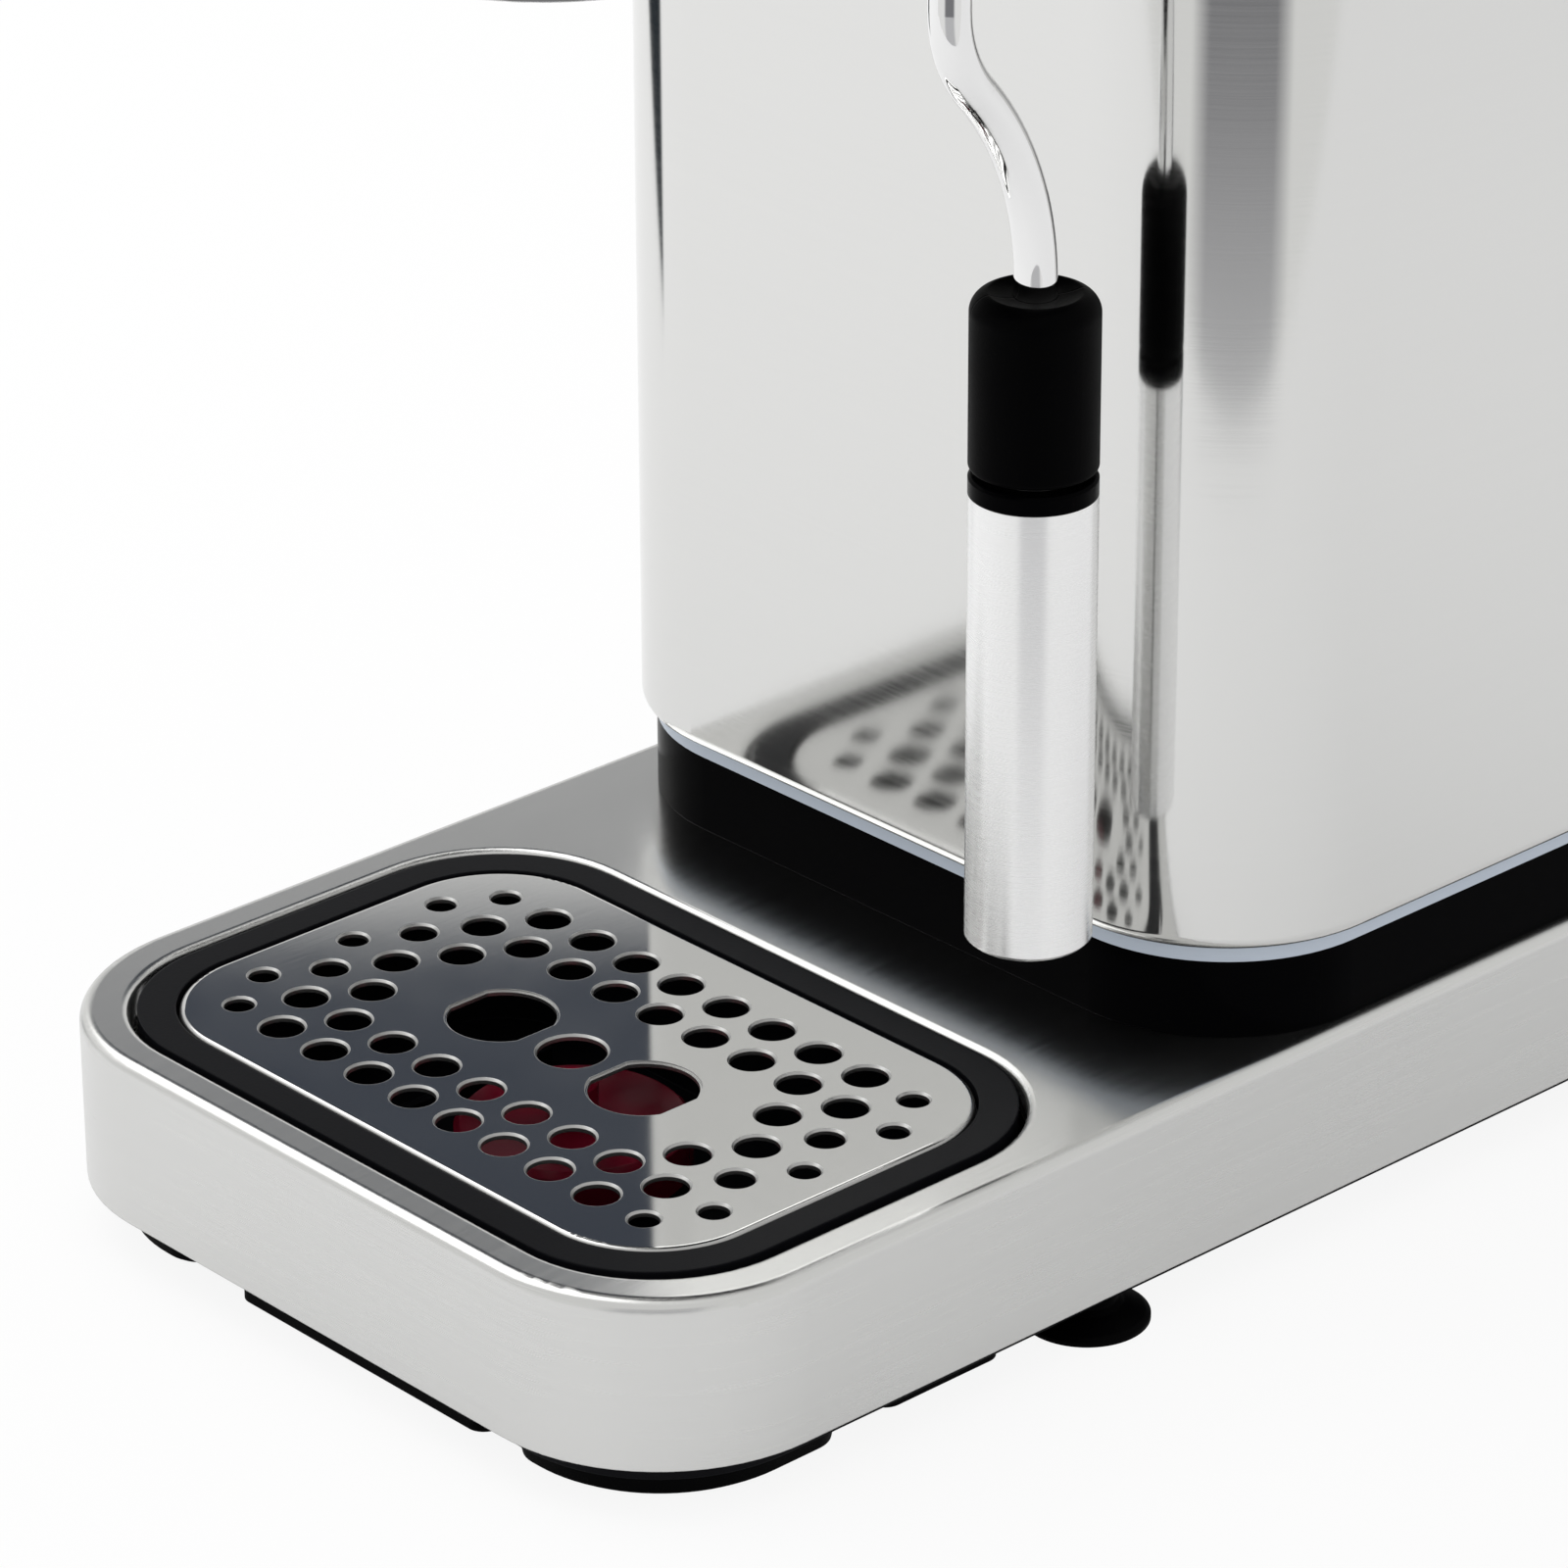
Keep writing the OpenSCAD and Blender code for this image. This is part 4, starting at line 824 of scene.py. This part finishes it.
class DRESS_OT_steel(MachineOperator):
    """Brushed, polished and plated steel"""

    bl_idname = "machine.dress_steel"
    bl_label = "Dress Steel"

    def execute(self, context):
        steel = context.scene.machine_steel
        across, along = steel.grain_across, steel.grain_along
        dress(SATIN_NODES, steel_material(
            "satin steel", steel.satin_colour, steel.satin_roughness, across, along,
            contrast=0.16, spread=0.09, depth=0.000002, anisotropy=0.8, level_gloss=0.25))
        dress(SLEEVE_NODES, steel_material(
            "sleeve steel", steel.sleeve_colour, 0.27, across * 1.6, along * 1.5,
            contrast=0.10, spread=0.06, depth=0.000001, anisotropy=0.8))
        dress(MIRROR_NODES, steel_material(
            "polished column steel", steel.mirror_colour, steel.mirror_roughness, across,
            along * 0.6, contrast=0.04, spread=0.04, depth=0.0000012, anisotropy=0.7))
        dress(POLISHED_NODES, steel_material(
            "polished steel", steel.mirror_colour, 0.08, across, along, contrast=0.04,
            spread=0.05, depth=0.000001, anisotropy=0.2, radius=0.0001))
        dress(GRATE_NODES, grate_material(steel.mirror_colour))
        dress(CHROME_NODES, plated_material("chrome", steel.chrome_colour, 0.04))
        dress(BUTTON_NODES, plated_material("satin chrome", steel.chrome_colour, 0.22))
        dress(FASTENER_NODES, plated_material("zinc plated steel", (0.45, 0.45, 0.46), 0.3))
        dress(BRASS_NODES, steel_material(
            "turned brass", (0.72, 0.52, 0.24), 0.28, across, along * 4, contrast=0.10))
        dress(CAST_NODES, cast_metal())
        return {"FINISHED"}


class DRESS_OT_mouldings(MachineOperator):
    """Black mouldings, gloss parts and rubber"""

    bl_idname = "machine.dress_mouldings"
    bl_label = "Dress Mouldings"

    def execute(self, context):
        plastic = context.scene.machine_plastic
        dress(MOULDED_NODES, moulded_material(
            "satin black moulding", plastic.moulded_colour, 0.34, radius=0.0004, specular=0.055,
            wear=0.25))
        dress(GLOSS_NODES, moulded_material(
            "gloss black", plastic.gloss_colour, 0.20, grain=700, depth=0.000004,
            specular=0.015))
        dress(RUBBER_NODES, moulded_material(
            "black rubber", plastic.rubber_colour, 0.48, grain=2600, depth=0.00002,
            radius=0.0005, specular=0.03, wear=0.10))
        dress(("wand_grip",), grip_material(plastic.rubber_colour))
        dress(("pump",), moulded_material("glass-filled plastic", (0.46, 0.38, 0.22), 0.5))
        dress(("ball_seat",), moulded_material("white bearing plastic", (0.78, 0.77, 0.73), 0.4))
        dress(("control_board",), board_material())
        return {"FINISHED"}


class DRESS_OT_clear_parts(MachineOperator):
    """Float, lit strip and water tank"""

    bl_idname = "machine.dress_clear_parts"
    bl_label = "Dress Clear Parts"

    def execute(self, context):
        plastic = context.scene.machine_plastic
        dress(("tray_float",), moulded_material(
            "red float", plastic.float_colour, 0.22, grain=200, depth=0.000004,
            specular=0.15))
        dress(("light_strip",), lit_material("lit strip", plastic.strip_colour, 0.20))
        dress(("water_tank",), clear_material("tank plastic", plastic.tank_colour, 0.06))
        return {"FINISHED"}


class DETAIL_OT_buttons(MachineOperator):
    """Marks on the push buttons and a signal lamp above each"""

    bl_idname = "machine.add_button_marks"
    bl_label = "Add Button Marks"

    def execute(self, context):
        details = context.scene.machine_details
        dome = 0.0003
        dark = moulded_material("dark print", (0.02, 0.02, 0.023), 0.5, specular=0.2)
        glow = lit_material("signal lamp", (0.55, 0.75, 0.95), 0.6)
        size, relief_depth = details.mark_size, details.mark_relief
        shapes = {
            "button_single": ((drop_outline(size), 0),),
            "button_double": tuple((drop_outline(0.8 * size), side * 0.364 * size)
                                   for side in (-1, 1)),
            "button_steam": tuple((steam_outline(size), shift * 0.3 * size)
                                  for shift in (-1, 0, 1)),
        }
        sink = relief_depth / 2
        panel_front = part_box("control_panel")[0][1]
        lamps = bmesh.new()
        for node, marks in shapes.items():
            middle = centre_of(node)
            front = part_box(node)[0][1]
            builder = bmesh.new()
            for outline, shift in marks:
                add_outline(builder, outline, (middle.x + shift, front + sink, middle.z),
                            relief_depth + sink, relief_depth / 4)
            finish_piece("mark_" + node, builder, dark, node)
            add_lens(lamps, (middle.x, panel_front, middle.z + details.lamp_rise),
                     details.lamp_size / 2, dome, dome)
        finish_piece("signal_lamps", lamps, glow, "machine")
        return {"FINISHED"}


class DETAIL_OT_pointer(MachineOperator):
    """White inlay in the groove of the steam knob"""

    bl_idname = "machine.add_pointer"
    bl_label = "Add Knob Pointer"

    def execute(self, context):
        length = context.scene.machine_details.pointer_length
        width, thickness, edge = 0.0013, 0.0007, 0.00018
        inset, rim = 0.00055, 0.0024
        low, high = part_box("steam_knob")
        builder = bmesh.new()
        place = ((low[0] + high[0]) / 2, low[1] + inset, high[2] - rim - length / 2)
        add_plate(builder, place, (width, thickness, length), edge)
        finish_piece("knob_pointer", builder,
                     moulded_material("white inlay", (0.80, 0.80, 0.78), 0.4), "knob")
        return {"FINISHED"}


class DETAIL_OT_levels(MachineOperator):
    """Raised level marks on the back of the water tank"""

    bl_idname = "machine.add_level_marks"
    bl_label = "Add Level Marks"

    def execute(self, context):
        details = context.scene.machine_details
        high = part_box("water_tank")[1]
        full_mark, even_mark, odd_mark, line = 0.016, 0.009, 0.006, 0.0006
        inner_end, top = 0.040, high[2] - 0.022
        builder = bmesh.new()
        for mark in range(details.level_marks):
            width = full_mark if mark == 0 else (odd_mark if mark % 2 else even_mark)
            place = (inner_end + width / 2, high[1], top - mark * details.level_step)
            add_plate(builder, place, (width, 2 * details.mark_relief, line),
                      details.mark_relief / 3)
        finish_piece("level_marks", builder,
                     moulded_material("white level print", (0.82, 0.83, 0.84), 0.45), "tank")
        return {"FINISHED"}


class STAGE_OT_set(MachineOperator):
    """Pale floor, soft light and the camera"""

    bl_idname = "machine.set_stage"
    bl_label = "Set Stage"

    def execute(self, context):
        stage = context.scene.machine_stage
        make_floor(stage)
        make_room(context, stage)
        make_softbox()
        make_camera(context, stage)
        context.scene.view_settings.view_transform = "Standard"
        return {"FINISHED"}


class MACHINE_PT_looks(bpy.types.Panel):
    """Lists the operators in the order in which they run"""

    bl_label = "Machine Looks"
    bl_space_type = "VIEW_3D"
    bl_region_type = "UI"
    bl_category = "Machine"

    def draw(self, context):
        for operator in OPERATORS:
            self.layout.operator(operator.bl_idname)


SETTINGS = (
    ("machine_steel", SteelSettings),
    ("machine_plastic", PlasticSettings),
    ("machine_details", DetailSettings),
    ("machine_stage", StageSettings),
)
OPERATORS = (
    DRESS_OT_steel,
    DRESS_OT_mouldings,
    DRESS_OT_clear_parts,
    DETAIL_OT_buttons,
    DETAIL_OT_pointer,
    DETAIL_OT_levels,
    STAGE_OT_set,
)


def register():
    """Registers the settings, the operators and the panel."""
    for name, settings in SETTINGS:
        bpy.utils.register_class(settings)
        setattr(bpy.types.Scene, name, PointerProperty(type=settings))
    for operator in OPERATORS:
        bpy.utils.register_class(operator)
    bpy.utils.register_class(MACHINE_PT_looks)


def unregister():
    """Takes everything away again, in reverse."""
    bpy.utils.unregister_class(MACHINE_PT_looks)
    for operator in reversed(OPERATORS):
        bpy.utils.unregister_class(operator)
    for name, settings in reversed(SETTINGS):
        delattr(bpy.types.Scene, name)
        bpy.utils.unregister_class(settings)


def main():
    """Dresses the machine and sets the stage."""
    register()
    bpy.ops.machine.dress_steel()
    bpy.ops.machine.dress_mouldings()
    bpy.ops.machine.dress_clear_parts()
    bpy.ops.machine.add_button_marks()
    bpy.ops.machine.add_pointer()
    bpy.ops.machine.add_level_marks()
    bpy.ops.machine.set_stage()


if __name__ == "__main__":
    main()
